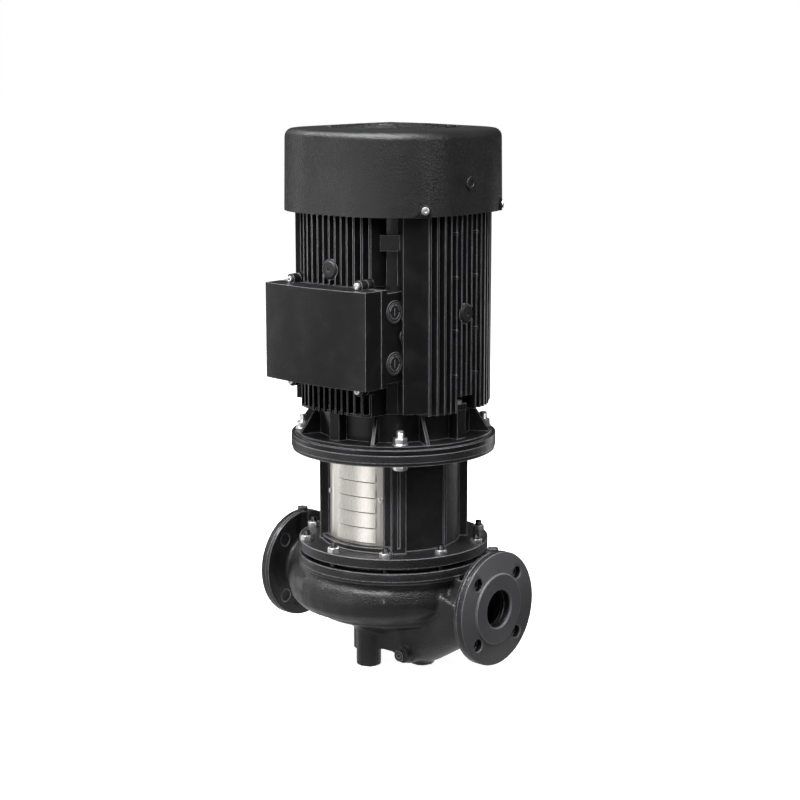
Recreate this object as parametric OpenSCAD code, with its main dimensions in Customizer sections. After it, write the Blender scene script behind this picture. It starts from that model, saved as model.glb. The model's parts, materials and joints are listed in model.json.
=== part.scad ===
// Vertical in-line circulation pump with a flange-mounted motor.
// Origin: on the shaft axis at the plane the four feet stand on.
// +Z points up the shaft, +X to the suction port, -Y to the terminal box.

/* [Pump housing] */
// Distance between the faces of the two ports
face_to_face = 400; // [385:5:430]
// Height of the port centre line above the feet
port_z = 110; // [104:1:125]
// Height of the volute centre above the port centre line
volute_rise = 6; // [4:1:9]
// Largest radius of the volute passage centre
volute_end_r = 122; // [118:1:125]
// Radius of the volute centre line where the spiral starts
volute_start_r = 90; // [86:1:94]
// Outside radius of the volute tube where it ends
volute_tube_r = 40; // [37:1:42]
// Thickness of the cast walls
cast_wall = 8; // [6:1:9]
// Height of the joint face of the housing above the port centre line
joint_rise = 54; // [50:1:60]
// Outside diameter of the joint flange of the housing
joint_d = 280; // [276:1:290]
// Thickness of the joint flange of the housing
joint_t = 18; // [14:1:20]

/* [Ports] */
// Outside diameter of a port flange
flange_d = 165; // [155:1:175]
// Thickness of a port flange
flange_t = 18; // [16:1:20]
// Diameter of the raised sealing face
face_d = 102; // [88:1:104]
// Height of the raised sealing face
face_h = 3; // [2:0.5:4]
// Bolt circle of a port flange
flange_pcd = 125; // [122:1:135]
// Bolt holes in a port flange
flange_holes = 4; // [4:4:8]
// Diameter of the bolt holes in the flange of the suction port
flange_hole_d = 18; // [14:1:18]
// Diameter of the bolt holes in the flange of the discharge port
far_hole_d = 19; // [15:1:19]
// Bore of the ports
port_d = 55; // [48:1:60]
// Radius of the gauge boss on each port flange
gauge_boss_r = 9; // [8:0.5:10]

/* [Feet] */
// Diameter of each foot
foot_d = 37; // [32:1:40]
// Circle through the feet
foot_pcd = 112; // [108:1:118]
// Drill diameter of the tapped hole in each foot
foot_hole_d = 10.2; // [8:0.1:14]
// Depth of the tapped hole in each foot
foot_hole_h = 22; // [16:1:26]
// Distance of the drain plug from the line through the ports
drain_y = 58; // [54:1:64]

/* [Casing joint] */
// Thickness of the cover clamped between housing and stool
cover_t = 7; // [6:0.5:9]
// Radius of the spigot that centres the cover
spigot_r = 112; // [108:1:114]
// Depth of the spigot in the housing
spigot_h = 14; // [11:1:15]
// Studs round the casing joint
stud_count = 10; // [8:1:12]
// Radius of the circle of studs
stud_circle_r = 131; // [129:0.5:132]
// Thread diameter of the casing studs
stud_d = 10; // [8:1:10]
// Length of stud above its nut
stud_end_h = 7; // [5:1:10]

/* [Motor stool] */
// Height of the motor stool
stool_h = 166; // [156:1:180]
// Thickness of the lower flange of the stool
stool_foot_t = 14; // [12:1:16]
// Thickness of the upper flange of the stool
stool_head_t = 16; // [14:1:18]
// Outside radius of the stool wall
stool_r = 97; // [95:1:98]
// Outside radius of the four corner posts
post_r = 109; // [105:1:111]
// Width of a corner post
post_w = 21; // [18:1:23]
// Half the angle of each guard window
window_half = 33; // [31:1:34]
// Height of the sill under each window
sill_h = 7; // [5:1:10]
// Thickness of the guard sheet
guard_t = 1.2; // [1:0.1:2]
// Louvres in each guard
louvre_count = 5; // [3:1:6]
// Distance from one louvre to the next
louvre_pitch = 22.4; // [19:0.1:23]

/* [Motor flange] */
// Width of the motor flange outside the barrel of the frame
motor_flange_rim = 35; // [32:1:38]
// Thickness of the motor flange
motor_flange_t = 12; // [10:1:14]
// Distance of the motor bolts from the rim of the motor flange
motor_bolt_inset = 17.5; // [16:0.5:19]
// Thread diameter of the motor bolts
motor_bolt_d = 12; // [10:1:14]
// Height of the drive end shield
shield_h = 53; // [50:1:60]
// How far the drive end shield stands back from the barrel of the frame
shield_step = 2; // [1:0.5:4]

/* [Motor frame] */
// Height of the motor frame
frame_h = 278; // [270:1:300]
// Outside radius of the frame under the fins
frame_r = 115; // [113:1:116]
// Wall of the barrel of the frame
frame_wall = 12; // [11:1:14]
// Height of the middle fins above the barrel
fin_h = 22; // [19:1:23]
// How far the outer fin tips lie back
fin_crown = 3; // [1:0.5:6]
// Distance from one fin to the next
fin_pitch = 11; // [10.5:0.1:11.2]
// Fins on each side
fin_count = 13; // [11:2:13]
// Thickness of a fin at its tip
fin_t = 2.6; // [2:0.1:3.2]
// Angle of the cover columns from the X axis
column_angle = 33; // [32:0.5:34]
// Width of a cover column
column_w = 36; // [30:1:38]
// Distance of the cover screw from the edge of its column
column_edge = 10; // [9:0.5:12]

/* [Fan cover] */
// How far the fan cover stands out past the middle fins
cover_stand = 5; // [4:0.5:9]
// Corner radius of the fan cover
cover_corner_r = 106; // [100:1:110]
// Height of the fan cover
cover_h = 122; // [112:1:132]
// Height of the cap in the side of the fan cover
cover_cap_rise = 43; // [38:1:52]
// Wall of the fan cover
cover_wall = 2.5; // [2:0.1:3]
// Radius of the roll at the top of the fan cover
cover_roll = 12; // [10:1:16]
// Rings of air slots in the fan cover
grille_rings = 6; // [4:1:7]
// Spokes across the air slots
grille_spokes = 8; // [6:1:12]

/* [Terminal box] */
// Width of the terminal box
box_w = 190; // [180:1:192]
// Height of the terminal box
box_h = 136; // [128:1:142]
// Height of the middle of the box above the bottom of the frame
box_rise = 113; // [106:1:120]
// Depth of the terminal box in front of the barrel of the frame
box_depth = 19; // [16:1:23]
// Depth of the lid at its edge
lid_depth = 33; // [28:1:38]
// How far the lid bulges in the middle
lid_bow = 8; // [5:0.5:10]
// Wall of the box and lid
box_wall = 3.5; // [3:0.1:4.5]

/* [Shaft and bearings] */
// Radius of the motor shaft in the coupling
motor_shaft_r = 19; // [17:0.5:20]
// Radius of the pump shaft
pump_shaft_r = 14; // [12:0.5:15]
// Length of the coupling
coupling_h = 104; // [96:1:108]
// Outside radius of the coupling
coupling_r = 36; // [34:1:40]
// Bore radius of the drive end bearing
drive_bore_r = 20; // [19.5:0.5:21]
// Outside radius of the drive end bearing
drive_bearing_r = 45; // [43:0.5:46]
// Width of the drive end bearing
drive_bearing_w = 23; // [21:0.5:24]
// Bore radius of the fan end bearing
fan_bore_r = 17.5; // [16.5:0.5:18]
// Outside radius of the fan end bearing
fan_bearing_r = 36; // [34:0.5:37]
// Width of the fan end bearing
fan_bearing_w = 17; // [15:0.5:18]
// Air gap between rotor and stator
air_gap = 0.6; // [0.4:0.1:1]
// Height of the stator and rotor cores
core_h = 140; // [130:1:150]
// Radius of the fan
fan_r = 112; // [104:1:116]
// Blades of the fan
fan_blades = 9; // [7:1:12]

/* [Impeller] */
// Radius of the impeller
impeller_r = 86; // [80:1:88]
// Width of the impeller passage at its edge
impeller_w = 11; // [8:0.5:13]
// Vanes of the impeller
vane_count = 6; // [5:1:7]
// Radius of the impeller eye
eye_r = 29; // [26:0.5:30]

/* [Hidden] */

$fn = 96;
// A cut reaches this far past the face it opens
cut = 1;
// Gap left between curved faces that seat on each other
seat_gap = 0.1;
// Running clearance round the turning parts
run_gap = 0.3;
// Radial clearance of a bolt in its through hole
bolt_gap = 0.5;
// Radial clearance drawn for a screw in its thread
thread_gap = 0.05;

// Levels of the pump
volute_z = port_z + volute_rise;
joint_z = port_z + joint_rise;
stool_z = joint_z + cover_t;
motor_z = stool_z + stool_h;
spigot_z = joint_z - spigot_h;
port_x = face_to_face / 2;
chamber_r = impeller_r + 7;
chamber_z = spigot_z - impeller_w - 33;
neck_r = port_d / 2 + 14;
bowl_z = 46;
belly_x = 62;
belly_r = 45 + cast_wall;
belly_z = 4 + belly_r;

// Levels of the motor
frame_z = motor_z + shield_h;
frame_top = frame_z + frame_h;
column_h = 22;
cover_z = frame_top + 1;
box_z = frame_z + box_rise;

// Radii and reaches that follow the barrel of the frame
frame_bore_r = frame_r - frame_wall;
fin_tip = frame_r + fin_h;
shield_r = frame_r - shield_step;
motor_flange_d = 2 * (frame_r + motor_flange_rim);
motor_pcd = motor_flange_d - 2 * motor_bolt_inset;
motor_spigot_r = motor_pcd / 2 - 17.5;
cover_half = fin_tip + cover_stand;
box_joint_y = frame_r + box_depth;

// Bearings, shaft and rotor
drive_bearing_z = motor_z + 14;
fan_bearing_z = frame_top - 5;
shaft_end_z = motor_z - 80;
core_z = frame_z + 70;
stator_bore_r = 62;
rotor_r = stator_bore_r - air_gap;
coupling_z = shaft_end_z - 2 - coupling_h / 2;
shaft_shoulder_r = drive_bore_r + 4;

// Impeller
impeller_z = spigot_z - 4 - impeller_w;
hub_r = pump_shaft_r + 8;
eye_wall = 3;
wear_ring_t = 4;
wear_h = 12;

// Fasteners
stud_r = stud_d / 2;
nut_af = 1.6 * stud_d;
nut_h = 0.8 * stud_d;
motor_bolt_r = motor_bolt_d / 2;
gauge_plug_r = 6.5;
plug_head_h = 5;

// Colours
cast_black = [0.06, 0.06, 0.065];
zinc = [0.75, 0.76, 0.78];
steel = [0.62, 0.63, 0.64];
bare_steel = [0.5, 0.51, 0.53];
copper = [0.72, 0.4, 0.22];

// Shapes used by several parts

// A hexagon prism that stands on its base, given across the flats
module hexagon(af, h) {
    cylinder(d = af / cos(30), h = h, $fn = 6);
}

// Children moved along +Z
module up(z) {
    translate([0, 0, z])
        children();
}

// Cylinders that lie along +X and along -Y
module rod_x(r, h) {
    rotate([0, 90, 0])
        cylinder(r = r, h = h);
}

module rod_y(r, h) {
    rotate([90, 0, 0])
        cylinder(r = r, h = h);
}

// A ring with a square section
module ring(r_out, r_in, h) {
    difference() {
        cylinder(r = r_out, h = h);
        up(-cut)
            cylinder(r = r_in, h = h + 2 * cut);
    }
}

// Copies on a circle about the Z axis
module on_circle(r, count, start = 0) {
    for (i = [0:count - 1])
        rotate(start + i * 360 / count)
            translate([r, 0, 0])
                children();
}

// A straight round passage in the XZ plane between two points [x, z]
module passage(a, b, r) {
    translate([a[0], 0, a[1]])
        rotate([0, atan2(b[0] - a[0], b[1] - a[1]), 0])
            cylinder(r = r, h = norm(b - a));
}

// Spiral tube of the volute

volute_steps = 34;
volute_nose = 4;
volute_sides = 12;
volute_from = 150;
volute_turn = 330;

// Share of the spiral that is passed at ring i, and how far its round nose has closed
function volute_share(i) = min(1, i / volute_steps);
function nose_share(i) = max(0, i - volute_steps) / (volute_nose + 0.3);
function volute_mid_r(i) = volute_start_r + (volute_end_r - volute_start_r) * volute_share(i);
function volute_tube(i) =
    volute_tube_r * (0.42 + 0.58 * min(1, volute_share(i) / 0.88)) * sqrt(1 - pow(nose_share(i), 2));
function volute_angle(i) =
    volute_from - volute_turn * volute_share(i)
    - atan(volute_tube_r * nose_share(i) / volute_end_r);
function volute_point(i, j) =
    let (turn = 360 * j / volute_sides)
    let (r = volute_mid_r(i) + volute_tube(i) * cos(turn))
    [
        r * cos(volute_angle(i)),
        r * sin(volute_angle(i)),
        volute_z + volute_tube(i) * sin(turn)
    ];

// Tube that grows along the spiral and ends in a round nose
module volute_spiral() {
    n = volute_sides;
    rings = volute_steps + volute_nose;
    points = [
        for (i = [0:rings])
            for (j = [0:n - 1])
                volute_point(i, j)
    ];
    sides = [
        for (i = [0:rings - 1])
            for (j = [0:n - 1])
                for (half = [0, 1])
                    let (a = i * n + j)
                    let (b = i * n + (j + 1) % n)
                    half == 0 ? [a, b + n, b] : [a, a + n, b + n]
    ];
    start = [[for (j = [0:n - 1]) j]];
    end = [[for (j = [0:n - 1]) rings * n + n - 1 - j]];
    polyhedron(points, concat(sides, start, end));
}

// Pump end

module port_flange(side) {
    mirror([side < 0 ? 1 : 0, 0, 0])
        translate([port_x, 0, port_z])
            rotate([0, -90, 0]) {
                up(face_h)
                    cylinder(d = flange_d, h = flange_t - face_h);
                cylinder(d = face_d, h = flange_t);
            }
}

module port_flange_holes(side, hole_d) {
    mirror([side < 0 ? 1 : 0, 0, 0])
        translate([port_x + cut, 0, port_z])
            rotate([0, -90, 0])
                on_circle(flange_pcd / 2, flange_holes, 180 / flange_holes)
                    cylinder(d = hole_d, h = flange_t + 2 * cut);
}

gauge_x = port_x - flange_t + gauge_boss_r - 4;
gauge_z = port_z + flange_d / 2 + 0.5;

module gauge_bosses() {
    for (side = [-1, 1])
        translate([side * gauge_x, 0, port_z])
            cylinder(r = gauge_boss_r, h = gauge_z - port_z);
}

module bowl() {
    rotate_extrude()
        polygon([
            [0, bowl_z],
            [52, bowl_z],
            [65, bowl_z + 7],
            [93, bowl_z + 23],
            [118, bowl_z + 31],
            [122, volute_z],
            [128, joint_z - joint_t - 12],
            [joint_d / 2 - 4, joint_z - joint_t - 2],
            [joint_d / 2, joint_z - joint_t + 2],
            [joint_d / 2, joint_z - 1],
            [joint_d / 2 - 1, joint_z],
            [0, joint_z]
        ]);
}

// Corners of the suction passage, as [x, z]
upper_passage_r = port_d / 2 - 2.5;
lower_passage_r = upper_passage_r + 1.5;
suction_mouth = [port_x - 10, port_z + 4];
suction_bend = [port_x - 79, port_z - 47];
suction_eye = [-4, 59];

// Belly that carries the suction passage under the impeller
module suction_outside() {
    hull() {
        up(64)
            sphere(r = 38, $fn = 24);
        translate([belly_x, 0, belly_z])
            sphere(r = belly_r, $fn = 32);
        translate([port_x - flange_t - 3, 0, port_z])
            rod_x(r = neck_r, h = 4, $fn = 32);
    }
}

module suction_inside() {
    translate([port_x - 34, 0, port_z])
        rotate([0, 90, 0])
            cylinder(d = port_d, h = 34 + cut);
    passage(suction_mouth, suction_bend, upper_passage_r);
    passage(suction_bend, suction_eye, lower_passage_r);
    translate([0, 0, suction_eye[1] - 16])
        cylinder(r = eye_r + 1, h = chamber_z - suction_eye[1] + 16);
}

module discharge_outside() {
    translate([flange_t - port_x - 2, 0, port_z])
        rod_x(r = neck_r, h = port_x - flange_t - volute_end_r + 22);
}

// Round channel that collects the water from the impeller
module collector() {
    rotate_extrude()
        translate([chamber_r + 10, volute_z])
            circle(r = 20);
}

drain_x = belly_x + 2;
drain_z = belly_z - belly_r + 22;

module drain_boss() {
    translate([drain_x, 0, drain_z])
        rotate([90, 0, 0]) {
            cylinder(r = 16, h = drain_y - 12);
            cylinder(r = 13, h = drain_y);
        }
}

// Ribs cast along the neck of the suction port
module neck_ribs() {
    for (side = [-1, 1]) {
        translate([joint_d / 2 - 8, side * 20 - 2.5, port_z + 14])
            cube([port_x - flange_t - joint_d / 2 + 9, 5, 24]);
        translate([0, side * (neck_r + 1) + 5, 0])
            rotate([90, 0, 0])
                linear_extrude(10)
                    polygon([
                        [volute_end_r + 4, port_z - 14],
                        [volute_end_r + 8, port_z + 16],
                        [port_x - flange_t - 14, port_z + 2],
                        [port_x - flange_t + 1, port_z - 14]
                    ]);
    }
}

module pump_housing() {
    color(cast_black)
        difference() {
            union() {
                bowl();
                volute_spiral();
                suction_outside();
                discharge_outside();
                port_flange(1);
                port_flange(-1);
                gauge_bosses();
                drain_boss();
                neck_ribs();
                on_circle(foot_pcd / 2, 4)
                    cylinder(d = foot_d, h = bowl_z + 14);
            }
            collector();
            suction_inside();
            // Bore for the wear ring and the chamber of the impeller
            up(chamber_z - 6)
                cylinder(r = eye_r + eye_wall + wear_ring_t + run_gap, h = 6 + cut);
            up(chamber_z)
                cylinder(r = chamber_r, h = joint_z - chamber_z + cut);
            up(spigot_z)
                cylinder(r = spigot_r, h = spigot_h + cut);
            // Discharge bore
            translate([-port_x - cut, 0, port_z])
                rotate([0, 90, 0])
                    cylinder(d = port_d, h = port_x - chamber_r + 2 * cut);
            port_flange_holes(1, flange_hole_d);
            port_flange_holes(-1, far_hole_d);
            // Tapped holes
            up(joint_z - joint_t + 4)
                on_circle(stud_circle_r, stud_count, 180 / stud_count)
                    cylinder(r = stud_r + thread_gap, h = joint_t);
            up(-cut)
                on_circle(foot_pcd / 2, 4)
                    cylinder(d = foot_hole_d, h = foot_hole_h + cut);
            for (side = [-1, 1])
                translate([side * gauge_x, 0, gauge_z - 14])
                    cylinder(r = gauge_plug_r + thread_gap, h = 14 + cut);
            translate([drain_x, 14 - drain_y, drain_z])
                rod_y(r = gauge_plug_r + thread_gap, h = 14 + cut);
        }
}

module wear_ring() {
    color("peru")
        up(chamber_z - 6)
            ring(
                eye_r + eye_wall + wear_ring_t + run_gap - seat_gap,
                eye_r + eye_wall + run_gap,
                wear_h
            );
}

// Round cord seal round the spigot of the cover
module casing_seal() {
    color([0.03, 0.03, 0.03])
        up(spigot_z + 6)
            rotate_extrude()
                translate([spigot_r - 3.2, 0])
                    circle(r = 2.4, $fn = 24);
}

module casing_cover() {
    color(cast_black)
        difference() {
            union() {
                up(joint_z)
                    cylinder(r = spigot_r + 11, h = cover_t);
                up(spigot_z)
                    cylinder(r = spigot_r - seat_gap, h = spigot_h + cut);
                up(stool_z - cut)
                    cylinder(r = hub_r + 34, h = 8 + cut);
            }
            // Room for the shaft seal
            up(spigot_z - cut)
                cylinder(r = hub_r + 14, h = 14 + cut);
            up(spigot_z)
                cylinder(r = pump_shaft_r + 3, h = spigot_h + cover_t + 12);
            // Groove for the round cord seal
            up(spigot_z + 3)
                difference() {
                    cylinder(r = spigot_r + cut, h = 6);
                    up(-cut)
                        cylinder(r = spigot_r - 5.8, h = 6 + 2 * cut);
                }
            rotate(-62)
                translate([hub_r + 26, 0, spigot_z - cut])
                    cylinder(r = 5 + thread_gap, h = spigot_h + cover_t + 12);
        }
}

module seal_seat() {
    color([0.25, 0.25, 0.26])
        up(spigot_z + 5)
            ring(hub_r + 14 - seat_gap, pump_shaft_r + 2, 9);
}

module vent_screw() {
    color(zinc)
        rotate(-62)
            translate([hub_r + 26, 0, spigot_z + 2]) {
                cylinder(r = 5, h = stool_z + 8 - spigot_z - 2);
                up(stool_z + 8 - spigot_z - 2)
                    hexagon(14, 7);
            }
}

// Screw plug that closes a tapped hole, with a socket in its head
module screw_plug() {
    difference() {
        union() {
            up(-12)
                cylinder(r = gauge_plug_r, h = 12);
            cylinder(r = gauge_plug_r + 1.5, h = plug_head_h);
        }
        up(plug_head_h - 3)
            hexagon(6, 4);
    }
}

module drain_plug() {
    color(cast_black)
        translate([drain_x, -drain_y, drain_z])
            rotate([90, 0, 0])
                screw_plug();
}

module gauge_plugs() {
    color(cast_black)
        for (side = [-1, 1])
            translate([side * gauge_x, 0, gauge_z])
                screw_plug();
}

// Motor stool

stool_head_z = motor_z - stool_head_t;
stool_foot_top = stool_z + stool_foot_t;
window_low = stool_foot_top + sill_h;
window_h = stool_head_z - window_low;
window_rebate = 8;
guard_seat_r = stool_r - guard_t;

// Wedge about the Z axis that starts and ends at given angles
module wedge(r, from, to, h) {
    step = (to - from) / 8;
    linear_extrude(h)
        polygon(concat(
            [[0, 0]],
            [for (i = [0:8]) r / cos(step / 2) * [cos(from + i * step), sin(from + i * step)]]
        ));
}

// Corner post with a groove along its middle
module stool_post() {
    difference() {
        translate([stool_r - 12, -post_w / 2, stool_foot_top - cut])
            cube([post_r - stool_r + 12, post_w, stool_head_z - stool_foot_top + 2 * cut]);
        translate([post_r - 3, -1.5, stool_foot_top + 8])
            cube([5, 3, motor_z]);
    }
}

module stool_side_rib() {
    translate([stool_r - 10, -2.5, stool_foot_top - cut])
        cube([13, 5, stool_head_z - stool_foot_top + 2 * cut]);
}

module motor_stool() {
    color(cast_black)
        difference() {
            union() {
                up(stool_z)
                    cylinder(d = joint_d, h = stool_foot_t);
                up(stool_foot_top - cut)
                    cylinder(r = stool_r, h = stool_head_z - stool_foot_top + 2 * cut);
                up(stool_head_z)
                    cylinder(d = motor_flange_d - 3, h = stool_head_t);
                up(stool_head_z + 5)
                    cylinder(d = motor_flange_d, h = stool_head_t - 5);
                for (a = [45:90:315])
                    rotate(a)
                        stool_post();
                for (a = [0, 180])
                    rotate(a)
                        stool_side_rib();
                // Sill rings under the windows
                for (a = [-90, 90])
                    rotate(a)
                        intersection() {
                            up(stool_foot_top - cut)
                                ring(stool_r + 9, stool_r - 6, sill_h + cut);
                            wedge(stool_r + 20, -window_half - 6, window_half + 6, motor_z);
                        }
            }
            // Inside of the lantern
            up(stool_z - cut)
                cylinder(r = stool_r - 9, h = stool_h + 2 * cut);
            // Seat of the motor spigot
            up(motor_z - 5)
                cylinder(r = motor_spigot_r + seat_gap, h = 5 + cut);
            // Windows, each with a rebate that the guard lies in
            for (a = [-90, 90])
                rotate(a) {
                    up(window_low + window_rebate)
                        wedge(stool_r + 30, 5 - window_half, window_half - 5, window_h - 2 * window_rebate);
                    difference() {
                        up(window_low)
                            wedge(stool_r + 30, -window_half, window_half, window_h);
                        cylinder(r = guard_seat_r - seat_gap, h = motor_z);
                    }
                    for (b = [-1, 1])
                        rotate(b * (window_half - 3))
                            translate([guard_seat_r - 12, 0, guard_screw_z])
                                rod_x(r = 2 + thread_gap, h = 20);
                }
            // Stud and bolt holes
            up(stool_z - cut)
                on_circle(stud_circle_r, stud_count, 180 / stud_count)
                    cylinder(r = stud_r + bolt_gap, h = stool_foot_t + 2 * cut);
            up(stool_head_z - cut)
                on_circle(motor_pcd / 2, 4, 45)
                    cylinder(r = motor_bolt_r + bolt_gap, h = stool_head_t + 2 * cut);
        }
}

module casing_studs() {
    color([0.12, 0.12, 0.13])
        up(joint_z - joint_t + 5)
            on_circle(stud_circle_r, stud_count, 180 / stud_count)
                cylinder(
                    r = stud_r,
                    h = joint_t - 5 + cover_t + stool_foot_t + nut_h + stud_end_h
                );
}

module casing_nuts() {
    color(zinc)
        up(stool_foot_top)
            on_circle(stud_circle_r, stud_count, 180 / stud_count)
                difference() {
                    hexagon(nut_af, nut_h);
                    up(-cut)
                        cylinder(r = stud_r + thread_gap, h = nut_h + 2 * cut);
                }
}

// Coupling guards

guard_screw_z = (window_low + stool_head_z) / 2 + 4;
louvre_z = window_low + 5;
louvre_rise = 3;

// Bent sheet with pressed louvres that closes a window of the stool
module guard(direction) {
    rotate(direction)
        difference() {
            union() {
                intersection() {
                    up(window_low + 0.5)
                        ring(guard_seat_r + guard_t, guard_seat_r, window_h - 1);
                    wedge(stool_r + 20, 0.6 - window_half, window_half - 0.6, motor_z);
                }
                for (i = [0:louvre_count - 1])
                    intersection() {
                        up(louvre_z + i * louvre_pitch)
                            rotate_extrude()
                                polygon([
                                    [guard_seat_r + 0.4, 0],
                                    [guard_seat_r + guard_t + louvre_rise, 0],
                                    [guard_seat_r + guard_t + louvre_rise, 1.2],
                                    [guard_seat_r + guard_t, louvre_pitch - 1.5],
                                    [guard_seat_r + 0.4, louvre_pitch - 1.5]
                                ]);
                        wedge(stool_r + 30, -14.5, window_half - 7, motor_z);
                    }
            }
            // Air slot under each louvre
            for (i = [0:louvre_count - 1])
                intersection() {
                    up(louvre_z + i * louvre_pitch - cut)
                        ring(guard_seat_r + guard_t + louvre_rise - 1.2, guard_seat_r - cut, 3 + cut);
                    wedge(stool_r + 30, -13.5, window_half - 8, motor_z);
                }
            for (b = [-1, 1])
                rotate(b * (window_half - 3))
                    translate([guard_seat_r - 12, 0, guard_screw_z])
                        rod_x(r = 2 + bolt_gap, h = 20);
        }
}

module front_guard() {
    color(steel)
        guard(-90);
}

module rear_guard() {
    color(steel)
        guard(90);
}

module guard_screws() {
    color(zinc)
        for (a = [-90, 90])
            for (b = [-1, 1])
                rotate(a + b * (window_half - 3))
                    translate([guard_seat_r + guard_t, 0, guard_screw_z])
                        rotate([0, 90, 0]) {
                            up(-8)
                                cylinder(r = 2, h = 8 + 0.2);
                            up(0.2)
                                cylinder(r = 3.8, h = 2.2);
                        }
}

// Motor bolts, heads below the stool flange and nuts above the motor flange

grip_h = stool_head_t + motor_flange_t;

module motor_bolts() {
    color(zinc)
        up(stool_head_z)
            on_circle(motor_pcd / 2, 4, 45) {
                up(-7.5)
                    hexagon(1.5 * motor_bolt_d, 7.5);
                cylinder(r = motor_bolt_r, h = grip_h + 10 + 11);
            }
}

module motor_nuts() {
    color(zinc)
        up(motor_z + motor_flange_t)
            on_circle(motor_pcd / 2, 4, 45)
                difference() {
                    union() {
                        cylinder(r = motor_bolt_d - 0.5, h = 2);
                        up(2)
                            hexagon(1.5 * motor_bolt_d, 9);
                    }
                    up(-cut)
                        cylinder(r = motor_bolt_r + thread_gap, h = 11 + 2 * cut);
                }
}

// Drive end shield of the motor

shield_spigot_h = 6;
shield_screw_r = shield_r + 9;
shield_boss_w = 18;

module shield_gusset() {
    translate([0, 2.5, motor_z + motor_flange_t - cut])
        rotate([90, 0, 0])
            linear_extrude(5)
                polygon([
                    [shield_r - 8, 0],
                    [motor_flange_d / 2 - 7, 0],
                    [motor_flange_d / 2 - 8, 4],
                    [shield_r + 4, shield_h - motor_flange_t],
                    [shield_r - 8, shield_h - motor_flange_t]
                ]);
}

module shield_boss() {
    translate([shield_r - 8, -shield_boss_w / 2, motor_z + motor_flange_t - cut])
        cube([shield_screw_r - shield_r + 14, shield_boss_w, shield_h - motor_flange_t + cut]);
}

module drive_end_shield() {
    color(cast_black)
        difference() {
            union() {
                up(motor_z)
                    cylinder(d = motor_flange_d - 12, h = motor_flange_t);
                up(motor_z)
                    cylinder(d = motor_flange_d, h = motor_flange_t - 5);
                up(motor_z - 4.5)
                    cylinder(r = motor_spigot_r, h = 5);
                up(motor_z + 1)
                    cylinder(r = shield_r, h = shield_h - 1);
                up(frame_z - cut)
                    cylinder(r = frame_bore_r - seat_gap, h = shield_spigot_h + cut);
                for (a = [45:90:315])
                    for (b = [-16, 16])
                        rotate(a + b)
                            shield_gusset();
                for (a = [0:90:270])
                    rotate(a)
                        shield_boss();
            }
            // Hollow under the windings, with the bearing hub left standing
            difference() {
                up(motor_z + motor_flange_t)
                    cylinder(r = frame_bore_r - 8, h = shield_h);
                cylinder(r = drive_bearing_r + 8, h = drive_bearing_z + drive_bearing_w + 2);
            }
            up(drive_bearing_z)
                cylinder(r = drive_bearing_r, h = shield_h);
            up(motor_z - 10)
                cylinder(r = drive_bore_r + race_t + 2, h = 40);
            // Recess inside the mounting spigot
            up(motor_z - 10)
                cylinder(r = 92, h = 14);
            up(motor_z - 10)
                on_circle(motor_pcd / 2, 4, 45)
                    cylinder(r = motor_bolt_r + bolt_gap, h = motor_flange_t + 20);
            shield_screw_places(0)
                up(-18)
                    cylinder(r = 3 + thread_gap, h = 20);
            shield_screw_places(90) {
                up(motor_z - frame_z - cut)
                    cylinder(r = 3 + bolt_gap, h = shield_h + 2 * cut);
                up(motor_z - frame_z - cut)
                    cylinder(r = 5 + bolt_gap, h = screw_head_h + 0.5 + cut);
            }
            // Threads for the bearing cover
            up(drive_bearing_z + drive_bearing_w - 12)
                on_circle(drive_bearing_r + 4, 3, 30)
                    cylinder(r = 1.6 + thread_gap, h = 16);
        }
}

lug_h = 9;
screw_head_h = 6;

// Places of two shield screws opposite each other, at the joint of shield and frame
module shield_screw_places(turn) {
    for (a = [turn, turn + 180])
        rotate(a)
            translate([shield_screw_r, 0, frame_z])
                children();
}

// The screws beside the ports go down through the lugs, the others up through the flange
module shield_screws() {
    color(zinc) {
        shield_screw_places(0) {
            up(-16)
                cylinder(r = 3, h = 16 + lug_h);
            up(lug_h)
                hexagon(10, 4.5);
        }
        shield_screw_places(90)
            up(motor_z + 0.5 - frame_z) {
                cylinder(r = 3, h = shield_h + lug_h - 2);
                cylinder(r = 5, h = screw_head_h);
            }
    }
}

// Finned motor frame

fin_half = (fin_count - 1) / 2;
fin_pocket_h = lug_h + 13;

// One fin of a side, with its foot inside the barrel
module fin(k, low) {
    y = k * fin_pitch;
    tip = fin_tip - fin_crown * pow(k / fin_half, 2);
    translate([0, y, frame_z + low])
        linear_extrude(frame_h - low)
            polygon([
                [sqrt(pow(frame_r, 2) - pow(y, 2)) - 4, -fin_t / 2 - 0.7],
                [tip, -fin_t / 2],
                [tip, fin_t / 2],
                [sqrt(pow(frame_r, 2) - pow(y, 2)) - 4, fin_t / 2 + 0.7]
            ]);
}

// Places on the four columns, with +X out through the cover screw
module column_places() {
    for (x = [0, 1])
        for (y = [0, 1])
            mirror([x, 0, 0])
                mirror([0, y, 0])
                    rotate(column_angle)
                        children();
}

// Column beside the fins that carries the fan cover, with a raised panel beside the box
module cover_column() {
    translate([frame_r - 10, -column_edge, frame_z + 4])
        cube([column_reach - frame_r + 10, column_w, frame_h + column_h - 4]);
    translate([frame_r - 10, 1.5 - column_edge, box_z - box_h / 2 + 4])
        cube([column_reach - frame_r + 11.5, column_w - 3, box_h - 6]);
}

lift_pad_w = 36;
lift_pad_h = 22;

// Pad in the corner of the frame for a lifting eye
module lift_pad() {
    rotate(-51)
        translate([frame_r - 5, -lift_pad_w / 2, frame_top - lift_pad_h - 25])
            cube([15, lift_pad_w, lift_pad_h]);
}

// Marks left by the ejector pins on the tips of two fins
module ejector_marks() {
    for (k = [-2, 2])
        for (share = [0.19, 0.42, 0.69, 0.91])
            translate([fin_tip - 8, k * fin_pitch, frame_z + share * frame_h])
                rod_x(r = 2.2, h = 8.3, $fn = 24);
}

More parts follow.
